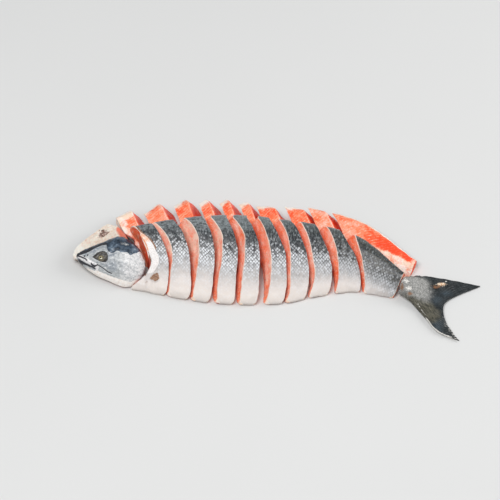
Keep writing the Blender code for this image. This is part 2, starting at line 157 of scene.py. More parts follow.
# The hollow in the far head: its middle as (along, across), half its length and width, and its turn
HOLLOW_AT, HOLLOW_SIZE, HOLLOW_TURN = (58, 17), (9.5, 4.8), 0.25

# The shoulder, as (s, v): the white band has these two edges, and a slot painted brown as shade of the gill
# opening lies before its lower half
BAND_FRONT = [(86, 48), (99.7, 31.2), (110.8, 18.4), (117.4, 4.3), (122.5, -6.9), (120.4, -15.3),
              (116, -22)]
BAND_BACK = [(92, 49), (104.3, 33.5), (116.3, 24), (123.5, 15.1), (128.6, 6), (133.4, -1.5), (134, -9.1),
             (130, -17), (125, -24)]
STUB_AT, STUB_RADIUS = (129.5, -29.2), 6.3
# Tan places below the slot, as (s, v, half length, half width)
COLLAR_TAN = [(97, -38, 6, 4), (116, -36, 5, 4)]

# Tail, seen from above: its two edges from the cut (0) to the tips (1), and where the fork is
TAIL_UPPER = [(0, 200, -35), (0.15, 214, -31), (0.3, 231, -28), (0.5, 257, -32), (0.75, 286, -38),
              (1, 314, -44)]
TAIL_LOWER = [(0, 188, -62), (0.15, 200, -71), (0.3, 211, -82), (0.5, 228, -106), (0.75, 247, -133),
              (1, 279, -149)]
FORK = 0.66
TAIL_THICKNESS = [(0, 25), (0.15, 21), (0.3, 13), (0.4, 6), (0.55, 3.4), (0.8, 2.2), (1, 1.8)]
TAIL_UNDERSIDE = [(0, 0.5), (0.3, 0.5), (0.5, 2.5), (1, 1.5)]
TAIL_RAYS = 34
# Marks on the tail, as (x, y, half length, half width) from above, and lines as (x, y)
TAIL_NICK = [(254, -43, 9, 4)]
TAIL_BROWN = [(247, -46, 8, 2.2), (246, -49, 5, 2.5), (193, -59, 4, 6), (205, -68, 5, 3)]
TAIL_FLAPS = [(199, -50, 7, 3.5), (203, -61, 6, 4)]
TAIL_WHITE = [(261, -37, 2.2, 1.4)]
TAIL_SHEEN = [(246, -73, 8, 8), (246, -122, 9, 14), (262, -60, 8, 5)]
TAIL_ROOT = [(204, -74), (222, -82), (238, -102)]
TAIL_RIDGE = [(217, -82), (222, -92), (228, -103)]

# How pale the near cut faces are at belly edge, lower middle, upper middle and back edge: 0 is deep orange
PALE_AT = (0.0, 0.35, 0.7, 1.0)
NEAR_PALE = [(0.1, 0.4, 0.75, 0.65), (0.2, 0.3, 0.85, 0.3), (0.25, 0.3, 0.65, -0.05), (0.2, 0.4, 0.3, 0.15),
             (0.15, 0.45, 0.25, 0.2), (0.3, 0.5, 0.35, 0.2), (0.35, 0.5, 0.4, 0.15), (0.1, 0.15, 0.35, 0.1)]
TAILPIECE_PALE = (0.1, 0.15, 0.3, 0.05)
# All near cuts are paler than that by the first value, and darker towards the table by the second: painted
# shade deep in the gaps between slices
NEAR_PALER, NEAR_GAP_SHADE = 0.34, 0.34
# The far slices' tops: millimetres of cream along the outer edge, how pale the rest is, and how strong the
# patch of orange between them is
FAR_CREAM = [(8, 0.62, 0.2), (7, 0.42, 0.2), (13, 0.62, 1.0), (11, 0.62, 0.9), (12, 0.66, 0.5),
             (9, 0.55, 0.8), (6, 0.50, 0.7), (3, 0.72, 0.1)]
FAR_COLLAR_CREAM = (28, 0.75, 0.55)
# The far tail piece: millimetres of cream at its outer edge, how far in the pale strip begins at each s, and
# where the piece ends in tan
TAILPIECE_CREAM, TAILPIECE_TAN = 3.0, 511
TAILPIECE_STRIP = [(430, 40), (450, 30), (475, 20), (500, 13), (517, 10)]
# The cut behind the head falls off into the cavity below this place across the far collar, at s of 60 and 95;
# it is painted dark there as shade.
CAVITY_SHADE_EDGE = [(60, 57), (95, 44)]

# Flakes of flesh. On the knife cuts they are nested ovals round the middle of two big muscles, each given as
# (v, how much wider than deep). On the lengthwise cut they are oblique bands that turn at the spine's line
MUSCLES, MUSCLE_DEPTH, OVAL_STEP = [(34, 1.9), (-26, 2.1)], 0.45, 3.1
SPINE_LINE, BAND_SLANT, BAND_STEP = 45, 0.9, 5.5
FLAKE = 0.22  # depth of the relief between flakes

NEAR_CORNER, FAR_CORNER = 5.0, 3.0  # radius of the slices' corners, seen from above
GRID = 1.15  # spacing of the mesh on the slices
RIM = (0.0, 0.3, 0.75, 1.4)  # closer lines beside every knife edge
TOP_LAYER = 0.02  # the top of a shell, as a share of the way down

# The photograph: 500 pixels wide, seen from the front and 52 degrees above the table
PHOTO_PIXELS, PIXEL = 500, 1.55
ORIGIN_PIXEL = (276.2, 274.25)
ELEVATION, CAMERA_DISTANCE, SENSOR = math.radians(52), 9000, 36
# Lights as (name, place, size, power), in metres and watts, and how strong the sky is
LIGHTS = [("key_light", (-1.0, -0.9, 3.3), 2.0, 87), ("fill_light", (2.6, 0.5, 1.4), 2.0, 50)]
SKY_COLOUR, SKY_STRENGTH = (0.95, 0.97, 1.0, 1), 0.36

CREAM = (0.70, 0.635, 0.585)
BRIGHT_SILVER = (0.78, 0.80, 0.83)
RED_ORANGE = (0.93, 0.070, 0.020)
DEEP_ORANGE = (0.94, 0.125, 0.042)
SALMON = (0.95, 0.27, 0.135)
PALE_PINK = (0.97, 0.45, 0.34)
FAT = (0.97, 0.70, 0.57)
# The skin from belly (0) to back (1), as (place, red, green, blue). The lighter grey above 0.68, towards the
# back edge, is painted sheen.
SKIN_TONES = [(0.0, *CREAM), (0.13, 0.73, 0.66, 0.61), (0.20, 0.70, 0.64, 0.605), (0.27, 0.58, 0.535, 0.51),
              (0.34, 0.46, 0.44, 0.43), (0.40, 0.34, 0.33, 0.33), (0.46, 0.17, 0.17, 0.17),
              (0.52, 0.055, 0.054, 0.056), (0.58, 0.025, 0.026, 0.031), (0.68, 0.016, 0.020, 0.025),
              (0.76, 0.030, 0.036, 0.038), (0.84, 0.085, 0.10, 0.10), (0.92, 0.15, 0.17, 0.17),
              (1.0, 0.19, 0.205, 0.20)]
# How often a scale is silver, and how bright it is then, by the same place
SILVER_OFTEN = [(0.0, 0.2), (0.30, 0.6), (0.38, 0.95), (0.48, 1.0), (0.55, 0.55), (0.61, 0.34), (0.70, 0.18),
                (1.0, 0.12)]
SILVER_BRIGHT = [(0.25, 0.25), (0.33, 0.55), (0.40, 0.90), (0.50, 1.0), (0.57, 0.78), (0.63, 0.45),
                 (0.72, 0.25), (1.0, 0.18)]


def through(points, x):
    """A smooth curve through (x, value) points, level where the points are."""
    xs, ys = np.array(points, float).T
    slopes = np.gradient(ys, xs)
    steps = np.diff(ys) / np.diff(xs)
    limit = 3 * np.minimum(abs(np.append(steps, steps[-1])), abs(np.insert(steps, 0, steps[0])))
    slopes = np.clip(slopes, -limit, limit)
    x = np.clip(x, xs[0], xs[-1])
    i = np.clip(np.searchsorted(xs, x) - 1, 0, len(xs) - 2)
    width = xs[i + 1] - xs[i]
    t = (x - xs[i]) / width
    start = (1 + 2 * t) * (1 - t) ** 2 * ys[i] + t * (1 - t) ** 2 * width * slopes[i]
    return start + t * t * (3 - 2 * t) * ys[i + 1] + t * t * (t - 1) * width * slopes[i + 1]


class Spine:
    """Turns (s, v, z) along the curved fish into a place above the table."""

    def __init__(self, points):
        across = [p[0] for p in points]
        x = np.linspace(across[0], across[-1], 400)
        y = through(points, x)
        self.x, self.y = x, y
        self.s = np.insert(np.cumsum(np.hypot(np.diff(x), np.diff(y))), 0, 0.0)
        turn = np.arctan2(np.gradient(y, self.s), np.gradient(x, self.s))
        self.turn = np.convolve(np.pad(turn, 20, mode="edge"), np.ones(41) / 41, mode="valid")

    def place(self, s, v, z):
        turn = np.interp(s, self.s, self.turn)
        past = np.clip(s - self.s[-1], 0, None) + np.clip(s, None, 0)
        x = np.interp(s, self.s, self.x) + past * np.cos(turn) - v * np.sin(turn)
        y = np.interp(s, self.s, self.y) + past * np.sin(turn) + v * np.cos(turn)
        return np.stack(np.broadcast_arrays(x, y, z), axis=-1)


FISH = Spine(SPINE)


def rounded(t, end):
    """0 at either edge of a section and 1 inside, with a quarter ellipse of that width between them."""
    inside = np.clip(np.minimum(t, 1 - t) / end, 0, 1)
    return np.sqrt(1 - (1 - inside) ** 2)


def near_section(s, t, u):
    """The near half at station s: how far across, top and underside for t from belly edge to back edge."""
    across = through(BELLY_EDGE, s) * (1 - t) + through(BACK_EDGE, s) * t
    fullness = through(FULLNESS, s)
    thickness = through(NEAR_THICKNESS, t)
    edge = through(NEAR_UNDERSIDE, t) + BELOW_EDGE * thickness
    soft = EDGE_SHARE + (1 - EDGE_SHARE) * rounded(t, EDGE_WIDTH)
    top = edge + (1 - BELOW_EDGE) * thickness * soft
    bottom = np.maximum(edge - BELOW_EDGE * thickness * soft, 0.3 * (1 - soft))
    return across, top * fullness, bottom * fullness


def far_width(s):
    return FAR_WIDTH * (through(BACK_EDGE, s) - through(BELLY_EDGE, s)) / FULL_WIDTH


def far_section(turns):
    """The far half, for t from back edge to belly edge. turns is how far its outer corners stand out."""
    def section(s, t, u):
        outer = through(BACK_EDGE, s) + through(FAR_STEP, s)
        across = outer - far_width(s) * t + (turns[0] * (1 - u) + turns[1] * u) * (1 - t)
        fullness = through(FULLNESS, s)
        return across, through(FAR_TOP, t) * fullness, through(FAR_UNDERSIDE, t) * fullness
    return section


def curved(table):
    """A cut that follows a curve given as (across, s) points."""
    return lambda v: through(sorted(table), v)


def knife(stations):
    """A cut along the skin of the near half, as s for each place across."""
    return curved(list(zip(NEAR_ACROSS, stations)))


def slanted(station, slant):
    """A straight cut of the far half."""
    return lambda v: station + slant * (v - FAR_ACROSS)


def edge_spaced(count):
    """Steps from 0 to 1 that crowd towards both ends."""
    return 0.5 - 0.5 * np.cos(np.linspace(0, math.pi, count))


def lines_over(length):
    """Grid lines from 0 to 1 over so many millimetres, closest beside the ends."""
    inner = np.linspace(RIM[-1], length - RIM[-1], max(3, round((length - 2 * RIM[-1]) / GRID)))
    ends = np.array(RIM[:-1])
    return np.concatenate([ends, inner, (length - ends)[::-1]]) / length


def waves(points, period, seed, count=10):
    """Smooth random waves between about -1 and 1, the same each run."""
    draw = np.random.default_rng(seed)
    turns = draw.normal(size=(count, 3))
    turns /= np.linalg.norm(turns, axis=1)[:, None]
    turns /= (period * draw.uniform(0.7, 1.4, count))[:, None]
    starts = draw.uniform(0, 2 * math.pi, count)
    return np.sin(points @ turns.T * 2 * math.pi + starts).sum(axis=1) / math.sqrt(count)


def smooth_step(low, high, x):
    """0 below low and 1 above high. With low above high it falls instead."""
    t = np.clip((x - low) / (high - low), 0, 1)
    return t * t * (3 - 2 * t)


def spot(a, c, at_a, at_c, half_length, half_width):
    """1 at a place and falling off softly round it."""
    return np.exp(-((a - at_a) / half_length) ** 2 - ((c - at_c) / half_width) ** 2)


def from_line(points, a, c):
    """The distance of each place (a, c) from a bent line."""
    nearest = np.full(np.shape(a), 1e9)
    for (a0, c0), (a1, c1) in zip(points, points[1:]):
        length = (a1 - a0) ** 2 + (c1 - c0) ** 2
        share = np.clip(((a - a0) * (a1 - a0) + (c - c0) * (c1 - c0)) / length, 0, 1)
        nearest = np.minimum(nearest, np.hypot(a - a0 - share * (a1 - a0), c - c0 - share * (c1 - c0)))
    return nearest


def above_table(points):
    return np.maximum(points, (-np.inf, -np.inf, 0.0))


class Shell:
    """The outside of a box of grid lines. u, t and h are each point's place in the box, from 0 to 1."""

    TOP, BOTTOM, START, END, LOW_EDGE, HIGH_EDGE = range(6)

    def __init__(self, us, ts, hs):
        shape = (len(us), len(ts), len(hs))
        outside = np.zeros(shape, bool)
        outside[[0, -1]] = outside[:, [0, -1]] = outside[:, :, [0, -1]] = True
        index = np.full(shape, -1)
        index[outside] = np.arange(outside.sum())
        self.u, self.t, self.h = (g[outside] for g in np.meshgrid(us, ts, hs, indexing="ij"))
        self.on_top = self.h < TOP_LAYER
        sheets = [index[:, :, 0], index[:, ::-1, -1], index[0], index[-1, :, ::-1], index[:, 0, ::-1],
                  index[:, -1]]
        quads = [np.stack([s[:-1, :-1], s[1:, :-1], s[1:, 1:], s[:-1, 1:]], axis=-1).reshape(-1, 4)
                 for s in sheets]
        self.sides = np.repeat(np.arange(6), [len(q) for q in quads])
        self.quads = np.concatenate(quads)

    def between(self, upper, lower):
        """Points that go from the upper surface at h of 0 to the lower one at 1."""
        return upper * (1 - self.h)[:, None] + lower * self.h[:, None]

    def soften(self, points, share, rounds):
        """Moves each point towards the middle of its neighbours by its share."""
        one_way = np.concatenate([self.quads[:, [i, (i + 1) % 4]] for i in range(4)])
        here, there = np.concatenate([one_way, one_way[:, ::-1]]).T
        many = np.bincount(here)
        for _ in range(rounds):
            total = np.stack([np.bincount(here, points[there, k]) for k in range(3)], axis=-1)
            points = points + (total / many[:, None] - points) * share[:, None]
        return points

    def face_normals(self, points):
        corners = points[self.quads]
        return np.cross(corners[:, 2] - corners[:, 0], corners[:, 3] - corners[:, 1])

    def raised(self, points, amount):
        """The points moved outwards by so many millimetres."""
        flat = self.face_normals(points)
        total = np.stack([sum(np.bincount(self.quads[:, i], flat[:, k], len(points)) for i in range(4))
                          for k in range(3)], axis=-1)
        normals = total / np.maximum(np.linalg.norm(total, axis=1), 1e-9)[:, None]
        return points + normals * amount[:, None]

    def face_out(self, points):
        """Turns all faces over where the box was mirrored."""
        if (self.face_normals(points) * points[self.quads].mean(axis=1)).sum() < 0:
            self.quads = self.quads[:, ::-1]

    def build(self, name, points, materials, attributes):
        """Makes the object that replaces the solid of its name. Each side of the box has its material."""
        mesh = bpy.data.meshes.new(name)
        mesh.vertices.add(len(points))
        mesh.vertices.foreach_set("co", ((points + SHIFT) * METRES).astype(np.float32).ravel())
        mesh.loops.add(self.quads.size)
        mesh.loops.foreach_set("vertex_index", self.quads.ravel().astype(np.int32))
        mesh.polygons.add(len(self.quads))
        mesh.polygons.foreach_set("loop_start", np.arange(0, self.quads.size, 4, dtype=np.int32))
        used = list(dict.fromkeys(materials))
        for made in used:
            mesh.materials.append(made)
        places = np.array([used.index(made) for made in materials])
        mesh.polygons.foreach_set("material_index", places[self.sides].astype(np.int32))
        for key, values in attributes.items():
            layer = mesh.attributes.new(key, "FLOAT_VECTOR", "POINT")
            whole = np.stack(np.broadcast_arrays(*values, np.zeros(len(points)))[:3], axis=-1)
            layer.data.foreach_set("vector", whole.astype(np.float32).ravel())
        mesh.update()
        mesh.validate()
        mesh.shade_smooth()
        piece = bpy.data.objects.new(name, mesh)
        bpy.context.scene.collection.objects.link(piece)
        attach(piece, "root")
        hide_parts(name)


class Value:
    """A node's output. Adding, subtracting or multiplying it makes a maths node."""

    def __init__(self, look, socket):
        self.look, self.socket = look, socket

    def __add__(self, other):
        return self.look.maths("ADD", self, other)

    def __sub__(self, other):
        return self.look.maths("SUBTRACT", self, other)

    def __rsub__(self, other):
        return self.look.maths("SUBTRACT", other, self)

    def __mul__(self, other):
        return self.look.maths("MULTIPLY", self, other)


class Look:
    """A material and short ways to add its nodes. Inputs can be numbers, colours or other nodes' outputs."""

    def __init__(self, name, roughness=0.4, coat=0.0, specular=0.5, subsurface=0.0):
        self.material = bpy.data.materials.new(name)
        self.material.use_nodes = True
        self.tree = self.material.node_tree
        self.shader = self.tree.nodes["Principled BSDF"]
        self.shader.inputs["Roughness"].default_value = roughness
        self.shader.inputs["Coat Weight"].default_value = coat
        self.shader.inputs["Coat Roughness"].default_value = 0.12
        self.shader.inputs["Specular IOR Level"].default_value = specular
        self.shader.inputs["Subsurface Weight"].default_value = subsurface
        self.shader.inputs["Subsurface Radius"].default_value = (1.0, 0.35, 0.2)
        self.shader.inputs["Subsurface Scale"].default_value = 0.004

    def put(self, socket, value):
        if isinstance(value, Value):
            self.tree.links.new(value.socket, socket)
        elif isinstance(value, tuple) and socket.type == "RGBA":
            socket.default_value = (*value, 1)
        else:
            socket.default_value = value

    def node(self, kind, **values):
        made = self.tree.nodes.new(kind)
        for key, value in values.items():
            self.put(made.inputs[key], value)
        return made

    def out(self, node, key=0):
        return Value(self, node.outputs[key])

    def parts(self, name):
        """The three values of a mesh attribute."""
        split = self.node("ShaderNodeSeparateXYZ", Vector=self.whole(name))
        return [self.out(split, i) for i in range(3)]

    def whole(self, name):
        """A mesh attribute as one vector."""
        made = self.tree.nodes.new("ShaderNodeAttribute")
        made.attribute_name = name
        return self.out(made, "Vector")

    def join(self, x, y, z=0.0):
        return self.out(self.node("ShaderNodeCombineXYZ", X=x, Y=y, Z=z))

    def place(self):
        return self.out(self.tree.nodes.new("ShaderNodeTexCoord"), "Object")

    def maths(self, operation, first, second=0.0, clamp=False):
        made = self.tree.nodes.new("ShaderNodeMath")
        made.operation = operation
        made.use_clamp = clamp
        self.put(made.inputs[0], first)
        self.put(made.inputs[1], second)
        return self.out(made)

    def bands(self, value):
        """0 at each whole number and 1 half-way between them."""
        return self.maths("ABSOLUTE", self.maths("SINE", value * math.pi))

    def noise(self, vector, scale, detail=3.0, rough=0.55):
        return self.out(self.node("ShaderNodeTexNoise", Vector=vector, Scale=scale, Detail=detail,
                                  Roughness=rough), "Fac")

    def cells(self, vector, scale, randomness):
        """Square cells: how far each place is from its cell's middle, and a random number for each cell."""
        made = self.node("ShaderNodeTexVoronoi", Vector=vector, Scale=scale, Randomness=randomness)
        made.distance = "CHEBYCHEV"
        split = self.node("ShaderNodeSeparateColor", Color=self.out(made, "Color"))
        return self.out(made, "Distance"), self.out(split)

    def step(self, value, low, high, to_low=0.0, to_high=1.0):
        """A soft step from to_low to to_high as the value goes from low to high."""
        made = self.tree.nodes.new("ShaderNodeMapRange")
        made.interpolation_type = "SMOOTHSTEP"
        for key, number in zip(("Value", "From Min", "From Max", "To Min", "To Max"),
                               (value, low, high, to_low, to_high)):
            self.put(made.inputs[key], number)
        return self.out(made)

    def ramp(self, value, stops):
        """The colour at a value, from stops given as (value, red, green, blue)."""
        made = self.tree.nodes.new("ShaderNodeValToRGB")
        elements = made.color_ramp.elements
        while len(elements) < len(stops):
            elements.new(0.5)
        for element, (place, *colour) in zip(elements, stops):
            element.position = place
            element.color = (*colour, 1)
        self.put(made.inputs[0], value)
        return self.out(made)

    def curve(self, value, points):
        """A bent line through (value, level) points."""
        return self.ramp(value, [(place, level, level, level) for place, level in points])

    def mix(self, share, first, second, kind="MIX"):
        made = self.tree.nodes.new("ShaderNodeMix")
        made.data_type = "RGBA"
        made.blend_type = kind
        self.put(made.inputs[0], share)
        self.put(made.inputs[6], first)
        self.put(made.inputs[7], second)
        return self.out(made, 2)

    def cover(self, first, second, value, low, high, most=1.0):
        """The first colour, covered by the second where a value goes from low to high."""
        return self.mix(self.step(value, low, high, 0.0, most), first, second)

    def bump(self, height, millimetres):
        return self.out(self.node("ShaderNodeBump", Height=height, Strength=1.0,
                                  Distance=millimetres * METRES))

    def finish(self, colour, roughness=None, normal=None):
        for key, value in (("Base Color", colour), ("Roughness", roughness), ("Normal", normal)):
            if value is not None:
                self.put(self.shader.inputs[key], value)
        return self.material


def skin_look():
    """Skin by its place on the fish: dark back with painted sheen along its edge, silver scales at the side,
    cream belly. paint adds what is special to a place: white, bare flesh and dark, the dark partly painted
    shade in the gill opening."""
    look = Look("salmon_skin", coat=0.08, specular=0.4)
    s, v, _ = look.parts("fish")
    white, flesh, dark = look.parts("paint")
    place = look.whole("fish")
    drift = look.noise(look.join(s, v * 0.6), 0.55, 2.0)
    patch = look.noise(place, 1.6, 4.0, 0.6)
    fine = look.noise(place, 7.0, 3.0, 0.6)
    tail = look.step(s, 34.0, 47.0)
    back = look.step(v, 3.2, 4.6) * look.step(s, 34.0, 20.0, 0.15, 1.0)
    v = v - look.step(s, 26.0, 17.0, -0.45, 0.6)
    level = v * (tail * 0.5 + 1.0) + (drift - 0.5) * 1.8 + (patch - 0.5) * 1.5
    share = look.maths("DIVIDE", level + 7.0, 15.0, clamp=True)
    base = look.ramp(share, SKIN_TONES)

    tufts = look.noise(look.join(s * 2.0, v * 0.7), 2.2, 4.0, 0.65)
    pale_tufts = look.step(tufts, 0.48, 0.66, 0.0, 0.75) * look.step(share, 0.46, 0.64)
    base = look.mix(pale_tufts, base, (0.24, 0.265, 0.265), "SCREEN")
    dark_tufts = look.step(tufts, 0.48, 0.36, 0.0, 0.55) * look.step(share, 0.22, 0.40)
    base = look.mix(dark_tufts, base, (0.30, 0.30, 0.32), "MULTIPLY")
    # Painted sheen: lighter grey glints along the back edge of the near slices, where the skin bends away
    # from the light.
    sheen_glints = look.noise(look.join(s * 0.9, v * 1.9), 1.9, 4.0, 0.6)
    base = look.mix(back * look.step(sheen_glints, 0.42, 0.58, 0.10, 1.0), base, (0.22, 0.245, 0.255))

    turned = look.node("ShaderNodeVectorRotate", Vector=look.join(s, v), Angle=math.radians(45))
    from_middle, chance = look.cells(look.out(turned), 2.9, 0.25)
    scale = look.step(from_middle, 0.44, 0.34)
    speck = look.step(look.curve(share, SILVER_OFTEN) - chance, -0.25, 0.40)
    speck = speck * scale * look.step(fine, 0.28, 0.50, 0.6, 1.0)
    patchy = look.step(look.noise(place, 1.1, 3.0, 0.6), 0.35, 0.60, 0.55, 1.0)
    speck = speck * (look.curve(share, SILVER_BRIGHT) * patchy) * (1.0 - tail * 0.35)
    colour = look.mix(speck, base, BRIGHT_SILVER)
    colour = look.mix(look.step(fine, 0.30, 0.75, 0.0, 0.25), colour, (0.30, 0.31, 0.31), "SOFT_LIGHT")

    streaks = look.noise(look.join(s * 0.5, v * 2.4), 1.6, 4.0)
    olive = tail * look.step(streaks, 0.42, 0.62) * look.step(share, 0.36, 0.56, 0.0, 0.75)
    colour = look.mix(olive, colour, (0.075, 0.07, 0.055))
    ragged = (patch - 0.5) * 0.7
    band = look.ramp(fine, [(0.35, 0.66, 0.60, 0.57), (0.50, 0.84, 0.80, 0.78), (0.65, 0.93, 0.89, 0.86)])
    colour = look.cover(colour, band, white + ragged, 0.30, 0.70)
    fibres = look.noise(look.join(s * 3.0, v * 0.8), 3.0, 4.0)
    bare = look.cover((0.90, 0.26, 0.10), (0.93, 0.70, 0.52), fibres, 0.40, 0.62)
    colour = look.cover(colour, bare, flesh + ragged, 0.35, 0.65)
    brown = look.ramp(fine, [(0.35, 0.11, 0.045, 0.022), (0.50, 0.27, 0.13, 0.07), (0.65, 0.50, 0.31, 0.19)])
    # Brown for the slot's painted shade in the gill opening, the crease line, the fin's stump and tan places.
    colour = look.cover(colour, brown, dark + ragged, 0.30, 0.70)
    roughness = look.step(patch + share, 0.3, 1.6, 0.46, 0.30)
    return look.finish(colour, roughness, look.bump(scale * 0.6 + fine * 0.7, 0.16))


def flesh_look():
    """Flesh: orange fibres between thin lines of fat. cut is (flake number, distance across, depth under the
    skin) and tone is (paleness, cream, dark), where dark is partly painted shade and partly the flesh's own
    darker dots."""
    look = Look("salmon_flesh", roughness=0.36, coat=0.06, specular=0.28, subsurface=0.10)
    flake, across, depth = look.parts("cut")
    pale, cream, dark = look.parts("tone")
    place = look.place()
    patch = look.noise(place, 95.0, 3.0, 0.6)
    blobs = look.noise(place, 60.0, 2.0, 0.5)
    grain = look.noise(look.join(flake * 2.6, across * 0.8, depth), 3.0, 4.0, 0.65)
    fine = look.noise(place, 620.0, 2.0, 0.6)
    uneven = pale + (patch - 0.5) * 1.3 + (blobs - 0.5) * 1.1 + (grain - 0.5) * 1.7 + (fine - 0.5) * 0.9
    colour = look.ramp(look.maths("MULTIPLY", uneven + 0.30, 0.70, clamp=True),
                       [(0.0, *RED_ORANGE), (0.22, *DEEP_ORANGE), (0.50, *SALMON), (0.80, *PALE_PINK),
                        (1.0, *FAT)])
    wobble = (look.noise(place, 160.0, 2.0) - 0.5) * 0.9
    line = look.step(look.bands(flake + wobble), 0.40, 0.05)
    broken = line * look.step(look.noise(place, 190.0, 2.0), 0.38, 0.60, 0.05, 0.62)
    colour = look.mix(broken * look.step(pale, -0.45, 0.20, 0.30, 1.0), colour, FAT)
    colour = look.mix(look.step(depth + (patch - 0.5) * 0.20, 0.24, 0.10) * 0.92, colour, (0.96, 0.86, 0.76))
    ragged = (grain - 0.5) * 0.7 + (patch - 0.5) * 1.5
    creamy = look.cover((0.94, 0.74, 0.58), (0.94, 0.87, 0.80), blobs, 0.4, 0.6)
    colour = look.mix(look.step(cream + ragged, 0.25, 0.80) * 0.94, colour, creamy)
    # Dark red, then near black: painted shade in the gaps between slices, the gill opening and the cavity
    # behind the head, and the tail piece's own darker dots.
    shade = dark + (patch - 0.5) * 0.7
    colour = look.cover(colour, (0.40, 0.05, 0.025), shade, 0.18, 0.55)
    colour = look.cover(colour, (0.035, 0.016, 0.012), shade, 0.55, 0.90)
    height = grain * 0.7 + fine * 0.5 - line * 0.5
    return look.finish(colour, look.step(grain, 0.3, 0.7, 0.30, 0.44), look.bump(height, 0.25))


def head_look():
    """The near head. paint is (dark cap, cream, drawn lines), more is (grey marks, white jaw, eye socket).
    The drawn lines are partly painted shade in the mouth slit, the nostrils and along the maxilla.
    """
    look = Look("salmon_head", coat=0.12)
    cap, cream, lines = look.parts("paint")
    marks, jaw, socket = look.parts("more")
    along, across, _ = look.parts("fish")
    place = look.place()
    patch = look.noise(place, 130.0, 4.0, 0.62)
    broad = look.noise(place, 55.0, 3.0, 0.6)
    mottle = look.noise(place, 330.0, 4.0, 0.65)
    fine = look.noise(place, 620.0, 3.0, 0.6)
    silver = look.ramp(mottle * 0.6 + broad * 0.4,
                       [(0.34, 0.25, 0.27, 0.28), (0.44, 0.38, 0.40, 0.405), (0.54, 0.52, 0.53, 0.525),
                        (0.70, 0.80, 0.795, 0.78)])
    grey = marks + (mottle - 0.5) * 2.2 + (patch - 0.5) * 1.2
    colour = look.cover(silver, (0.20, 0.23, 0.27), grey, 0.25, 1.25, 0.85)
    streaks = look.noise(look.join(along * 1.4, across * 3.4), 1.7, 5.0, 0.65)
    colour = look.cover(colour, (0.21, 0.24, 0.28), streaks, 0.48, 0.34, 0.70)
    colour = look.cover(colour, (0.90, 0.89, 0.87), streaks, 0.54, 0.68, 0.70)
    colour = look.mix(jaw * look.step(mottle, 0.35, 0.60, 0.3, 0.95), colour, (0.90, 0.86, 0.85))
    belly = look.ramp(mottle, [(0.36, 0.86, 0.75, 0.67), (0.52, 0.94, 0.89, 0.84)])
    colour = look.cover(colour, belly, cream + (patch - 0.5), 0.2, 0.9)
    blue = look.ramp(patch * 0.6 + broad * 0.4,
                     [(0.38, 0.012, 0.018, 0.028), (0.48, 0.030, 0.050, 0.078), (0.57, 0.09, 0.13, 0.18),
                      (0.68, 0.34, 0.42, 0.48)])
    colour = look.cover(colour, blue, cap + (patch - 0.5) * 1.2, 0.30, 0.66)
    black = look.ramp(mottle, [(0.38, 0.012, 0.011, 0.011), (0.58, 0.10, 0.09, 0.075)])
    colour = look.cover(colour, black, socket + (mottle - 0.5) * 0.5, 0.30, 0.70)
    # Near black lines, partly painted shade in the mouth slit, the nostrils and along the maxilla.
    colour = look.cover(colour, (0.022, 0.022, 0.028), lines + (mottle - 0.5) * 0.6, 0.35, 0.75)
    roughness = look.step(patch, 0.3, 0.7, 0.26, 0.42)
    return look.finish(colour, roughness, look.bump(patch * 0.5 + fine * 0.35, 0.30))


def bone_look():
    """The cut side of the far head: pale gristle round a brown hollow. paint is (hollow, red, pale)."""
    look = Look("split_head", coat=0.2, subsurface=0.08)
    hollow, red, pale = look.parts("paint")
    place = look.place()
    patch = look.noise(place, 110.0, 4.0, 0.62)
    streaks = look.noise(place, 330.0, 3.0, 0.6)
    colour = look.ramp(patch * 0.6 + streaks * 0.4,
                       [(0.34, 0.66, 0.46, 0.36), (0.44, 0.72, 0.60, 0.50), (0.54, 0.76, 0.69, 0.59),
                        (0.66, 0.82, 0.77, 0.69)])
    colour = look.cover(colour, (0.78, 0.74, 0.66), pale + (patch - 0.5) * 0.8, 0.3, 0.8)
    ragged = (patch - 0.5) * 1.1
    colour = look.cover(colour, (0.72, 0.13, 0.06), red + ragged, 0.35, 0.9, 0.9)
    brown = look.ramp(streaks, [(0.34, 0.10, 0.055, 0.045), (0.48, 0.24, 0.14, 0.11),
                                (0.60, 0.58, 0.44, 0.38)])
    colour = look.cover(colour, brown, hollow + ragged, 0.20, 0.85)
    return look.finish(colour, look.step(patch, 0.3, 0.7, 0.32, 0.5), look.bump(streaks, 0.3))


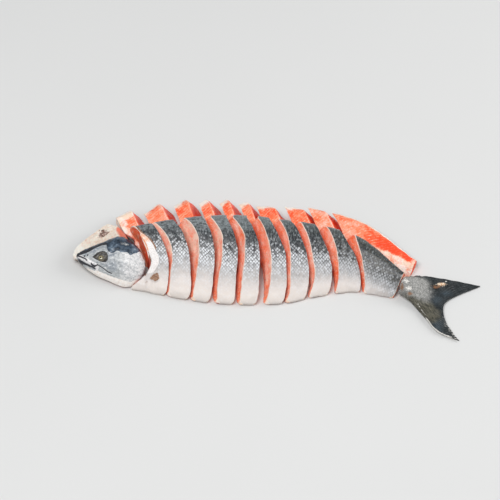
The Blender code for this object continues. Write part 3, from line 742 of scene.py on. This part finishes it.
def fin_look():
    """The tail fin: rays from the stalk to the trailing edge. cut is (ray number, share along, 0), paint is
    (stalk, pale edge, orange nick) and more is (tan root, blue sheen, brown)."""
    look = Look("tail_fin", coat=0.03, specular=0.2)
    ray, along, _ = look.parts("cut")
    stalk, pale, orange = look.parts("paint")
    root, sheen, brown = look.parts("more")
    place = look.place()
    patch = look.noise(place, 120.0, 4.0, 0.62)
    mottle = look.noise(place, 420.0, 3.0, 0.65)
    fine = look.noise(place, 700.0, 3.0, 0.6)
    wave = look.bands(ray)
    joints = look.noise(look.join(ray * 2.0, along * 26.0), 1.5)
    bars = look.noise(look.join(ray * 0.55, along * 9.0), 1.6, 4.0, 0.6)
    fin = look.ramp(patch, [(0.32, 0.007, 0.009, 0.010), (0.50, 0.015, 0.019, 0.020),
                            (0.66, 0.032, 0.038, 0.040)])
    fin = look.mix(sheen * look.step(bars, 0.35, 0.65, 0.3, 0.9), fin, (0.055, 0.080, 0.10))
    groove = look.step(wave, 0.70, 0.10) * look.step(joints, 0.3, 0.7, 0.2, 0.85)
    fin = look.mix(groove, fin, (0.006, 0.007, 0.008))
    crest = look.step(wave, 0.75, 1.0) * look.step(joints, 0.42, 0.66, 0.0, 0.65)
    fin = look.mix(crest, fin, (0.13, 0.15, 0.16))
    silver = look.ramp(fine * 0.45 + mottle * 0.25 + bars * 0.30,
                       [(0.38, 0.11, 0.11, 0.105), (0.46, 0.22, 0.22, 0.21), (0.53, 0.34, 0.335, 0.32),
                        (0.64, 0.60, 0.59, 0.56)])
    ragged = (patch - 0.5) * 0.8
    tan = look.cover((0.045, 0.044, 0.033), (0.145, 0.135, 0.10), bars, 0.40, 0.60)
    colour = look.cover(fin, tan, root + ragged, 0.10, 0.95)
    colour = look.cover(colour, silver, stalk + ragged, 0.15, 0.85)
    torn = (mottle - 0.5) * 1.6 + (bars - 0.5)
    colour = look.cover(colour, (0.24, 0.11, 0.05), brown + torn, 0.30, 0.85, 0.85)
    colour = look.cover(colour, (0.80, 0.77, 0.72), pale + torn, 0.35, 0.75, 0.9)
    nick = look.cover((0.66, 0.36, 0.17), (0.88, 0.76, 0.62), mottle, 0.42, 0.58)
    colour = look.cover(colour, nick, orange + torn, 0.35, 0.80)
    roughness = look.step(patch, 0.3, 0.7, 0.30, 0.46)
    return look.finish(colour, roughness, look.bump(wave * 0.4 + fine * 0.4, 0.25))


def eye_look():
    """The eyeball: rings round its middle by how far out they are."""
    look = Look("salmon_eye", roughness=0.08, coat=0.9)
    out = look.parts("cut")[0]
    specks = look.noise(look.place(), 900.0, 3.0, 0.6)
    rings = [(0.0, 0.010, 0.009, 0.008), (0.13, 0.012, 0.010, 0.008), (0.17, 0.62, 0.52, 0.26),
             (0.23, 0.30, 0.25, 0.14), (0.32, 0.10, 0.09, 0.06), (0.50, 0.15, 0.13, 0.095),
             (0.66, 0.07, 0.06, 0.045), (0.80, 0.025, 0.02, 0.018), (1.0, 0.015, 0.013, 0.012)]
    return look.finish(look.ramp(out + (specks - 0.5) * 0.22, rings))


SKIN = skin_look()
FLESH = flesh_look()
HEAD = head_look()
BONE = bone_look()
FIN = fin_look()
EYE = eye_look()


def ovals(v, depth, thickness):
    """Which flake a place on a knife cut is in."""
    return np.minimum.reduce([np.hypot((v - middle) / wide, depth - MUSCLE_DEPTH * thickness)
                              for middle, wide in MUSCLES]) / OVAL_STEP


def chevrons(s, v):
    """Which flake a place on the lengthwise cut is in."""
    return (s - BAND_SLANT * abs(v - SPINE_LINE)) / BAND_STEP


def relief(shell, points, flakes, cut_share, seed):
    """Works the flesh: each flake stands a little prouder at one edge, and nothing is quite flat."""
    flake_step = (np.mod(flakes + 0.25 * waves(points, 9, seed), 1) - 0.5) * 2 * FLAKE
    amount = cut_share * (flake_step + 0.10 * waves(points, 2.6, seed + 1))
    return shell.raised(points, amount + 0.28 * waves(points, 15, seed + 2))


def half_fish_piece(name, section, cuts, leans, size, near, tones, seed, paint=None, shape=None):
    """One piece of either half between two cuts. tones gives paleness, cream and dark of its flesh, the dark
    partly painted shade.
    """
    start, end = cuts
    length, width, deep = size
    shell = Shell(lines_over(length), lines_over(width), lines_over(deep))
    u, t, h = shell.u, shell.t, shell.h
    station = start(0.0) * (1 - u) + end(0.0) * u
    radius = NEAR_CORNER if near else FAR_CORNER
    corner = radius * (1 - np.sqrt(1 - np.clip(1 - t * width / radius, 0, 1) ** 2))
    # A place across depends on its station and a cut's station on the place, so both close in on each other
    for _ in range(6):
        v = section(station, t, u)[0]
        station = 0.5 * station + 0.5 * ((start(v) + corner) * (1 - u) + (end(v) - corner) * u)
    v, top, bottom = section(station, t, u)
    thickness = top - bottom
    under = station - (leans[0] * (1 - u) + leans[1] * u) * thickness
    v_under, _, bottom = section(under, t, u)
    bottom = np.clip(bottom, 0, top - THINNEST)
    points = shell.between(FISH.place(station, v, top), FISH.place(under, v_under, bottom))
    shell.face_out(points)
    in_from_edge = np.minimum(np.minimum(u, 1 - u) * length, np.minimum(h, 1 - h) * deep)
    points = shell.soften(points, np.where(in_from_edge < 1.0, 0.5, 0.0), 3)

    depth = (h if near else 1 - h) * thickness
    # The far half's skin, which lies on the table, is coloured from back to belly like the near half's
    skin_v = v if near else 62 - 125 * t
    flakes = ovals(skin_v, depth, thickness)
    if not near:
        flakes = np.where(shell.on_top, chevrons(station, v), flakes)
    if shape:
        points = shape(shell, points, station, v)
    on_skin = depth < TOP_LAYER * thickness
    points = above_table(relief(shell, points, flakes, np.where(on_skin, 0.0, 1.0), seed))
    attributes = {"fish": (station / 10, skin_v / 10, depth / 10),
                  "paint": paint(station, v, depth) if paint else (0.0, 0.0, 0.0),
                  "cut": (flakes, skin_v / 10, depth / 10), "tone": tones(station, v, t, u, h)}
    materials = [FLESH] * 6
    materials[Shell.TOP if near else Shell.BOTTOM] = materials[Shell.LOW_EDGE] = SKIN
    shell.build(name, points, materials, attributes)


def near_tones(pale):
    """Flesh tones of a near piece, from its paleness at four places across, with painted shade deep in the
    gaps towards the table.
    """
    table = list(zip(PALE_AT, pale))
    # The third value is painted shade deep in the gaps between slices.
    return lambda s, v, t, u, h: (NEAR_PALER + through(table, t), smooth_step(0.06, 0.01, t),
                                  NEAR_GAP_SHADE * smooth_step(0.45, 0.9, h))


def far_tones(cream, pale, orange):
    """A far piece is pale on top, cream along its outer edge with an orange patch below that, and deep orange
    on its knife cuts."""
    def tones(s, v, t, u, h):
        on_top = smooth_step(0.10, 0.02, h)
        inward = t * FAR_WIDTH + 9 * u
        patch = spot(inward, u, cream + 15, 0.5, 10, 0.5)
        ridge = 0.35 * smooth_step(0.06, 0.0, h) * smooth_step(0.90, 0.98, u)
        paleness = -0.45 + (pale + 0.27 + ridge - 0.45 * orange * patch) * on_top
        return paleness, on_top * smooth_step(cream + 14, cream - 6, inward), 0.0
    return tones


def tailpiece_tones(s, v, t, u, h):
    """The far tail piece: pink at its front, deep orange further back, and pale beside the near half."""
    on_top = smooth_step(0.10, 0.02, h)
    inward = t * far_width(s)
    strip = smooth_step(-3, 4, inward - through(TAILPIECE_STRIP, s))
    tan = smooth_step(TAILPIECE_TAN - 8, TAILPIECE_TAN + 4, s)
    deep = smooth_step(425, 470, s) * smooth_step(0, 5, inward) * (1 - strip)
    paleness = -0.2 + (0.70 - 0.92 * deep + 0.25 * strip) * on_top
    cream = np.maximum(smooth_step(TAILPIECE_CREAM + 2, TAILPIECE_CREAM - 2, inward), 0.58 * strip)
    return paleness, on_top * np.maximum(cream, 0.5 * tan), 0.14 * strip * on_top


def far_collar_tones(s, v, t, u, h):
    """The far collar falls off into the cavity at its front, beside the near half, where it is painted dark:
    painted shade.
    """
    pale, cream, _ = far_tones(*FAR_COLLAR_CREAM)(s, v, t, u, h)
    edge = through(CAVITY_SHADE_EDGE, s)
    cream = np.maximum(cream, 0.62 * smooth_step(0.10, 0.02, h) * smooth_step(0.85, 0.25, u))
    cream = np.maximum(cream, 0.60 * smooth_step(0.08, 0.0, u) * smooth_step(0.7, 0.3, t))
    # Painted shade where the cut falls off into the cavity.
    return pale, cream, smooth_step(edge + 4, edge - 4, v) * smooth_step(97, 90, s)


def collar_tones(s, v, t, u, h):
    """The wall before the near collar: mottled cream and orange at the top, olive brown lower down as painted
    shade in the gill opening.
    """
    wall = smooth_step(0.10, 0.0, u)
    pale = through([(0, 0.5), (0.4, 0.45), (0.7, 0.5), (1, 0.6)], t)
    cream = np.maximum(smooth_step(0.06, 0.01, t), wall * (0.08 + 0.16 * smooth_step(0.5, 0.75, t)))
    # The third value darkens the wall's lower part: painted shade in the gill opening.
    return pale - 0.5 * wall, cream, 0.55 * wall * smooth_step(0.52, 0.36, t) * smooth_step(0.08, 0.18, t)


def build_near_half():
    for number, (edges, pale) in enumerate(zip(NEAR_SLICES, NEAR_PALE), 1):
        start, end = (knife(edge) for edge in edges)
        length = max(end(v) - start(v) for v in np.linspace(-60, 60, 9))
        half_fish_piece(f"slice_near_{number}", near_section, (start, end), (NEAR_LEAN, NEAR_LEAN),
                        (length, FULL_WIDTH, 30), True, near_tones(pale), 10 * number)
    half_fish_piece("tailpiece_near", near_section, (knife(TAILPIECE_FRONT), knife(TAILPIECE_END)),
                    (NEAR_LEAN, 0.1), (62, 90, 22), True, near_tones(TAILPIECE_PALE), 200)


def band_edges(v):
    return (curved([(across, s) for s, across in line])(v) for line in (BAND_FRONT, BAND_BACK))


def from_stub(s, v):
    """How far a place is from the middle of the fin's stump, a little uneven all round."""
    ds, dv = s - STUB_AT[0], v - STUB_AT[1]
    turn = np.arctan2(dv, ds)
    uneven = 1 + 0.11 * np.sin(3 * turn + 1) + 0.08 * np.sin(5 * turn) + 0.05 * np.sin(9 * turn)
    return np.hypot(ds, dv) * uneven


def paint_collar(s, v, depth):
    """Where the near collar is white, bare flesh and dark. The dark is painted shade in the slot of the gill
    opening, with a crease line, the fin's stump and tan places.
    """
    front, back = band_edges(v)
    on_side = smooth_step(-26, -18, v) * smooth_step(50, 44, v)
    white = smooth_step(front - 1, front + 1, s) * smooth_step(back + 1.5, back - 1.5, s) * on_side
    flesh = smooth_step(front + 3, front, s) * smooth_step(3, 9, v)
    flesh = np.maximum(flesh, 0.9 * smooth_step(2, 4, depth) * smooth_step(4, 12, v))
    flesh = np.maximum(flesh, 0.60 * white * smooth_step(8, 24, v))
    # Painted shade in the gill opening: the slot before the band's lower half.
    slot = smooth_step(front + 0.5, front - 1.5, s) * smooth_step(9, 3, v) * smooth_step(-30, -22, v)
    line = smooth_step(2.0, 0.6, abs(s - back - 1.5)) * smooth_step(4, 12, v)
    disc = smooth_step(STUB_RADIUS + 0.5, STUB_RADIUS - 1.0, from_stub(s, v))
    tan = sum(spot(s, v, *place) for place in COLLAR_TAN)
    return white * (1 - disc), flesh, np.maximum.reduce([slot, line, disc, 0.45 * tan])


def shape_collar(shell, points, s, v):
    """Raises the white band and the stump, and sinks the slot and a crease."""
    front, back = band_edges(v)
    band = smooth_step(front - 2, front + 2, s) * smooth_step(back + 2, back - 2, s)
    slot = smooth_step(front + 1, front - 2, s) * smooth_step(-26, -18, v)
    stub = from_stub(s, v)
    stump = 2.6 * smooth_step(STUB_RADIUS + 1.0, STUB_RADIUS - 0.6, stub)
    stump += 0.5 * waves(points, 2.4, 231) * smooth_step(STUB_RADIUS, 3, stub)
    crease = 0.7 * smooth_step(1.6, 0.3, abs(s - back - 1.5)) * smooth_step(4, 12, v)
    return shell.raised(points, shell.on_top * (0.8 * band - 1.4 * slot + stump - crease))


def build_near_collar():
    """The shoulder: bare flesh and a slot painted brown as shade of the gill opening before the white band,
    and the stump of the pectoral fin.
    """
    half_fish_piece("collar_near", near_section, (curved(COLLAR_FRONT), knife(COLLAR_BACK)),
                    (COLLAR_FRONT_LEAN, NEAR_LEAN), (50, 105, 26), True, collar_tones, 220, paint_collar,
                    shape_collar)


def build_far_half():
    rows = zip(FAR_SLICES, FAR_CREAM)
    for number, ((start, end, slant, end_slant, turn, end_turn), cream) in enumerate(rows, 1):
        cuts = slanted(start, slant), slanted(end, end_slant)
        half_fish_piece(f"slice_far_{number}", far_section((turn, end_turn)), cuts, (-FAR_LEAN, -FAR_LEAN),
                        (end - start, FAR_WIDTH, 26), False, far_tones(*cream), 300 + 10 * number)
    cuts = curved(FAR_COLLAR_FRONT), slanted(*FAR_COLLAR_BACK)
    half_fish_piece("collar_far", far_section(FAR_COLLAR_TURN), cuts, (0, -FAR_LEAN), (45, 120, 24), False,
                    far_collar_tones, 400)
    cuts = slanted(*FAR_TAILPIECE_FRONT), curved([(-40, FAR_END + 4), (80, FAR_END)])
    half_fish_piece("tailpiece_far", far_section((0, 0)), cuts, (-FAR_LEAN, 0), (110, 90, 20), False,
                    tailpiece_tones, 420)


def cheek_height(along, t):
    """How far the near head's side stands above its edge, for t across from one edge to the other."""
    dome = (1 - abs(2 * t - 1) ** 2.4) ** 0.6
    return CHEEK_EDGE + (through(CHEEK, along) - CHEEK_EDGE) * dome


def from_rim(a, c):
    """How far each place on the head is outside the eye's rim, in mm: negative in the socket."""
    inside = np.zeros(np.shape(a), bool)
    ring = EYE_RIM + EYE_RIM[:1]
    for (a0, c0), (a1, c1) in zip(ring, ring[1:]):
        crosses = (c0 > c) != (c1 > c)
        inside ^= crosses & (a < a0 + (a1 - a0) * (c - c0) / (c1 - c0 + 1e-9))
    return from_line(ring, a, c) * np.where(inside, -1, 1)


def build_near_head():
    """The near head: jaws, nostrils, eye socket, cheek and gill cover, all worked into its surface."""
    shell = Shell(edge_spaced(210), edge_spaced(140), np.array([0, 0.12, 0.5, 0.88, 1]))
    a = HEAD_START + shell.u * (HEAD_LENGTH - HEAD_START)
    c = through(HEAD_LOW, a) * (1 - shell.t) + through(HEAD_HIGH, a) * shell.t
    under = through(SPLIT_PLANE, c) + SPLIT_GAP
    points = shell.between(FISH.place(a, c, under + cheek_height(a, shell.t)), FISH.place(a, c, under))
    mouth, lip, maxilla, joint = (from_line(line, a, c) for line in (MOUTH, LIP, MAXILLA, JAW_JOINT))
    seam, gill, rim = from_line(CHEEK_SEAM, a, c), from_line(GILL_SEAM, a, c), from_rim(a, c)
    pits = np.minimum.reduce([np.hypot(a - x, c - y) for x, y in NOSTRILS])
    lower_jaw = smooth_step(1.0, -1.0, c - through(CREAM_EDGE, a))

    carve = -1.7 * smooth_step(1.2, 0.3, mouth) - 0.6 * smooth_step(1.5, 0.4, maxilla)
    carve += 0.7 * smooth_step(3.4, 1.6, abs(mouth - 2.6)) * smooth_step(66, 58, a)
    carve -= 0.6 * smooth_step(1.3, 0.3, seam) + 0.4 * smooth_step(1.2, 0.3, gill)
    carve += 0.5 * smooth_step(6, 2, seam) * smooth_step(88, 92, a)
    carve -= 1.7 * smooth_step(0.4, -2.2, rim) - 0.6 * smooth_step(1.6, 0.2, abs(rim - 1.4))
    carve -= 1.5 * smooth_step(1.5, 0.5, pits)
    rays = np.sin((c + 0.35 * a) * 2.4)
    carve += 0.22 * rays * smooth_step(58, 66, a) * smooth_step(98, 90, a) * lower_jaw
    fan = np.sin(np.arctan2(c + 4, a - 86) * 30)
    carve += 0.10 * fan * smooth_step(92, 97, a) * smooth_step(-24, -18, c)
    carve *= smooth_step(0.0, 0.06, np.minimum(shell.t, 1 - shell.t))
    carve += 0.30 * waves(points, 8, 500) + 0.14 * waves(points, 2.8, 501)
    points = shell.raised(points, shell.on_top * carve)
    points = shell.soften(points, shell.on_top * 0.3, 1)

    cap_line = through(CAP_EDGE, a)
    cap = smooth_step(cap_line - 1.0, cap_line + 1.0, c)
    dark_snout = cap * smooth_step(56, 49, a) * smooth_step(cap_line + 7.5, cap_line + 4.5, c)
    lights = sum(spot(a, c, x, y, size, size) for x, y, size in CAP_LIGHTS)
    # Dark lines; in the mouth slit, the nostrils and along the maxilla's edge they are painted shade.
    drawn = np.maximum.reduce([
        smooth_step(1.0, 0.4, mouth),
        0.9 * smooth_step(1.6, 0.5, joint),
        0.85 * smooth_step(1.3, 0.4, lip),
        0.8 * smooth_step(1.0, 0.3, maxilla),
        smooth_step(1.5, 0.8, pits),
        0.55 * smooth_step(0.9, 0.2, seam) * smooth_step(-16, -4, c),
        0.22 * smooth_step(1.2, 0.3, seam),
        0.35 * smooth_step(0.9, 0.2, gill),
        0.7 * smooth_step(1.0, 0.3, abs(rim)),
        0.80 * dark_snout])
    marks = sum(power * spot(a, c, x, y, size, size) for x, y, size, power in CHEEK_MARKS)
    marks += 0.7 * np.exp(-((cap_line - c - 2.5) / 2.5) ** 2) * smooth_step(84, 60, a)
    upper_jaw = smooth_step(58, 48, a) * (1 - lower_jaw)
    jaw = smooth_step(1.2, 2.2, mouth) * smooth_step(6.5, 4.5, mouth) * upper_jaw
    attributes = {"fish": (a / 10, c / 10, 0.0),
                  "paint": (np.clip(cap - 0.34 * lights, 0, 1),
                            lower_jaw * smooth_step(0.8, 2.0, mouth), drawn),
                  "more": (np.clip(marks, 0, 1.1) + 0.16, np.maximum(jaw, 0.6 * smooth_step(66, 92, a)),
                           smooth_step(0.3, -0.9, rim))}
    shell.build("head_near", points, [HEAD, BONE, HEAD, HEAD, HEAD, HEAD], attributes)


def build_eye():
    """The eyeball, a squeezed ball sunk in its socket, with its middle turned up and forward."""
    along, across = EYE_AT
    low, high = through(HEAD_LOW, along), through(HEAD_HIGH, along)
    surface = through(SPLIT_PLANE, across) + SPLIT_GAP + cheek_height(along, (across - low) / (high - low))
    place = FISH.place(along, across, surface - EYE_SUNK * EYE_RADIUS)
    bpy.ops.mesh.primitive_uv_sphere_add(segments=64, ring_count=40, radius=EYE_RADIUS * METRES,
                                         location=Vector(place + SHIFT) * METRES)
    eye = bpy.context.object
    eye.name = eye.data.name = "eye_near"
    eye.scale = EYE_SCALE
    bpy.ops.object.transform_apply(location=False, rotation=False, scale=True)
    places = np.array([v.co for v in eye.data.vertices]) / METRES
    facing = np.array([*PUPIL_OFFSET, 1.0])
    facing /= np.linalg.norm(facing)
    unit = places / np.linalg.norm(places, axis=1)[:, None]
    out = np.arccos(np.clip(unit @ facing, -1, 1)) / (math.pi / 2)
    layer = eye.data.attributes.new("cut", "FLOAT_VECTOR", "POINT")
    layer.data.foreach_set("vector", np.stack([out * 1.1, out * 0, out * 0], -1).astype(np.float32).ravel())
    eye.data.materials.append(EYE)
    eye.data.shade_smooth()
    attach(eye, "root")


def build_far_head():
    """The other half of the head, cut side up, with the hollow where the brain lay."""
    shell = Shell(edge_spaced(110), edge_spaced(100), np.array([0, 0.15, 0.5, 0.85, 1]))
    a = shell.u * FAR_HEAD_LENGTH
    c = through(FAR_HEAD_LOW, a) * (1 - shell.t) + through(FAR_HEAD_HIGH, a) * shell.t
    turn, sway = math.cos(FAR_HEAD_TURN), math.sin(FAR_HEAD_TURN)
    s = FAR_HEAD_AT[0] + a * turn - c * sway
    v = FAR_HEAD_AT[1] + a * sway + c * turn
    top = through(SPLIT_PLANE, v)
    deep = cheek_height(a * HEAD_LENGTH / FAR_HEAD_LENGTH, shell.t)
    bottom = np.minimum(np.maximum(top - deep, 0), top - THINNEST)
    points = shell.between(FISH.place(s, v, top), FISH.place(s, v, bottom))
    shell.face_out(points)
    lean, tilt = math.cos(HOLLOW_TURN), math.sin(HOLLOW_TURN)
    along = (a - HOLLOW_AT[0]) * lean + (c - HOLLOW_AT[1]) * tilt
    beside = (c - HOLLOW_AT[1]) * lean - (a - HOLLOW_AT[0]) * tilt
    wobble = 1 + 0.28 * waves(points, 7, 522) + 0.15 * waves(points, 3, 523)
    hollow = np.hypot(along / HOLLOW_SIZE[0], beside / HOLLOW_SIZE[1]) * wobble
    carve = -4.5 * smooth_step(1.05, 0.55, hollow) + 0.5 * smooth_step(0.3, 0.0, abs(hollow - 1.2))
    carve += 0.45 * waves(points, 9, 520) + 0.15 * waves(points, 3, 521)
    carve *= smooth_step(0.0, 0.10, np.minimum(shell.t, 1 - shell.t))
    points = shell.raised(points, shell.on_top * carve)
    points = above_table(shell.soften(points, np.where(shell.h < 0.2, 0.35, 0.0), 2))
    red = smooth_step(74, 84, a) * smooth_step(26, 14, c)
    attributes = {"fish": (a / 10, c / 10, 0.0),
                  "paint": (smooth_step(1.1, 0.75, hollow), red, smooth_step(30, 8, a))}
    shell.build("head_far", points, [BONE, SKIN, BONE, BONE, BONE, BONE], attributes)


def build_tail():
    """The stalk and its forked fin, with raised rays."""
    across = 0.5 + 0.5 * np.sin(np.linspace(-math.pi / 2, math.pi / 2, 230))
    shell = Shell(np.linspace(0, 1, 170), across, np.array([0, 0.5, 1]))
    w = 2 * shell.t - 1
    along = shell.u * (FORK + (1 - FORK) * abs(w) ** 1.7)
    x, y = (through([(p[0], p[axis]) for p in TAIL_LOWER], along) * (1 - shell.t)
            + through([(p[0], p[axis]) for p in TAIL_UPPER], along) * shell.t for axis in (1, 2))
    thick = through(TAIL_THICKNESS, along)
    stalk = np.clip((0.5 - along) / 0.25, 0, 1)
    round_off = 1 - stalk * (1 - np.sqrt(1 - 0.94 * w * w))
    under = through(TAIL_UNDERSIDE, along) + stalk * 0.35 * thick * (1 - round_off)
    thick = np.maximum(thick * round_off, 1.5)
    points = np.stack([x, y, under + thick * (1 - shell.h)], axis=-1)

    def spots(table):
        return np.clip(sum(spot(x, y, *row) for row in table), 0, 1)

    on_fin = smooth_step(0.28, 0.40, along)
    rays = shell.t * TAIL_RAYS
    nick, brown, flaps = spots(TAIL_NICK), spots(TAIL_BROWN), spots(TAIL_FLAPS)
    stub = (1 - 0.75 * smooth_step(0.72, 0.97, shell.t)) * smooth_step(256, 218, x)
    stub *= smooth_step(-84, -62, y + 0.3 * (x - 215))
    root = 0.85 * smooth_step(24, 5, from_line(TAIL_ROOT, x, y))
    ridge = smooth_step(1.8, 0.4, from_line(TAIL_RIDGE, x, y))
    carve = on_fin * (0.26 * np.cos(rays * 2 * math.pi) + 0.35 * waves(points, 18, 541))
    carve += (1 - on_fin) * (0.6 * waves(points, 9, 540) + 0.2 * waves(points, 3, 542))
    carve += 1.3 * nick - 1.0 * brown * on_fin + 1.6 * flaps + 0.42 * ridge
    points = above_table(shell.raised(points, shell.on_top * carve))
    x, y, _ = points.T
    frayed = smooth_step(0.90, 1.0, shell.u) * smooth_step(0.5, 0.1, shell.t)
    frayed *= 0.35 + 0.35 * np.sin(rays * 2 * math.pi)
    edge_line = smooth_step(0.45, 0.55, along) * smooth_step(0.97, 0.9, along)
    edge_line *= smooth_step(0.03, 0.0, shell.t)
    pale = np.maximum.reduce([0.8 * flaps, 0.8 * edge_line, 0.45 * ridge, frayed, spots(TAIL_WHITE)])
    attributes = {"cut": (rays * 2, along, 0.0), "paint": (stub, pale, nick),
                  "more": (root, spots(TAIL_SHEEN), 0.85 * brown)}
    shell.build("tail", points, [FIN] * 6, attributes)


def build_stage():
    """A plain pale floor, two soft lights and an even sky."""
    bpy.ops.mesh.primitive_plane_add(size=12)
    floor = bpy.context.object
    floor.name = "floor"
    look = Look("floor_pale", roughness=0.7)
    colour = look.mix(look.noise(look.place(), 2.0), (0.66, 0.66, 0.65), (0.69, 0.69, 0.68))
    floor.data.materials.append(look.finish(colour))
    world = bpy.context.scene.world or bpy.data.worlds.new("sky")
    bpy.context.scene.world = world
    world.use_nodes = True
    sky = world.node_tree.nodes["Background"]
    sky.inputs["Color"].default_value = SKY_COLOUR
    sky.inputs["Strength"].default_value = SKY_STRENGTH
    for name, place, size, power in LIGHTS:
        light = bpy.data.lights.new(name, "AREA")
        light.size, light.energy = size, power
        lamp = bpy.data.objects.new(name, light)
        lamp.location = place
        lamp.rotation_euler = (-Vector(place)).to_track_quat("-Z", "Y").to_euler()
        bpy.context.scene.collection.objects.link(lamp)
    bpy.context.scene.view_settings.view_transform = "Standard"


def build_camera():
    """Looks along +Y and down, with the object's origin at its place in the photograph."""
    camera = bpy.data.objects.new("camera", bpy.data.cameras.new("camera"))
    bpy.context.scene.collection.objects.link(camera)
    camera.data.sensor_width = SENSOR
    camera.data.lens = SENSOR * CAMERA_DISTANCE / (PHOTO_PIXELS * PIXEL)
    back = Vector((0, -math.cos(ELEVATION), math.sin(ELEVATION)))
    upward = Vector((0, math.sin(ELEVATION), math.cos(ELEVATION)))
    middle = PHOTO_PIXELS / 2
    aim = Vector(((middle - ORIGIN_PIXEL[0]) * PIXEL, 0, 0)) + upward * ((ORIGIN_PIXEL[1] - middle) * PIXEL)
    camera.location = (aim + back * CAMERA_DISTANCE) * METRES
    camera.rotation_euler = (-back).to_track_quat("-Z", "Y").to_euler()
    camera.data.clip_end = 100
    bpy.context.scene.camera = camera


build_camera()
build_stage()
build_near_half()
build_near_collar()
build_far_half()
build_near_head()
build_eye()
build_far_head()
build_tail()
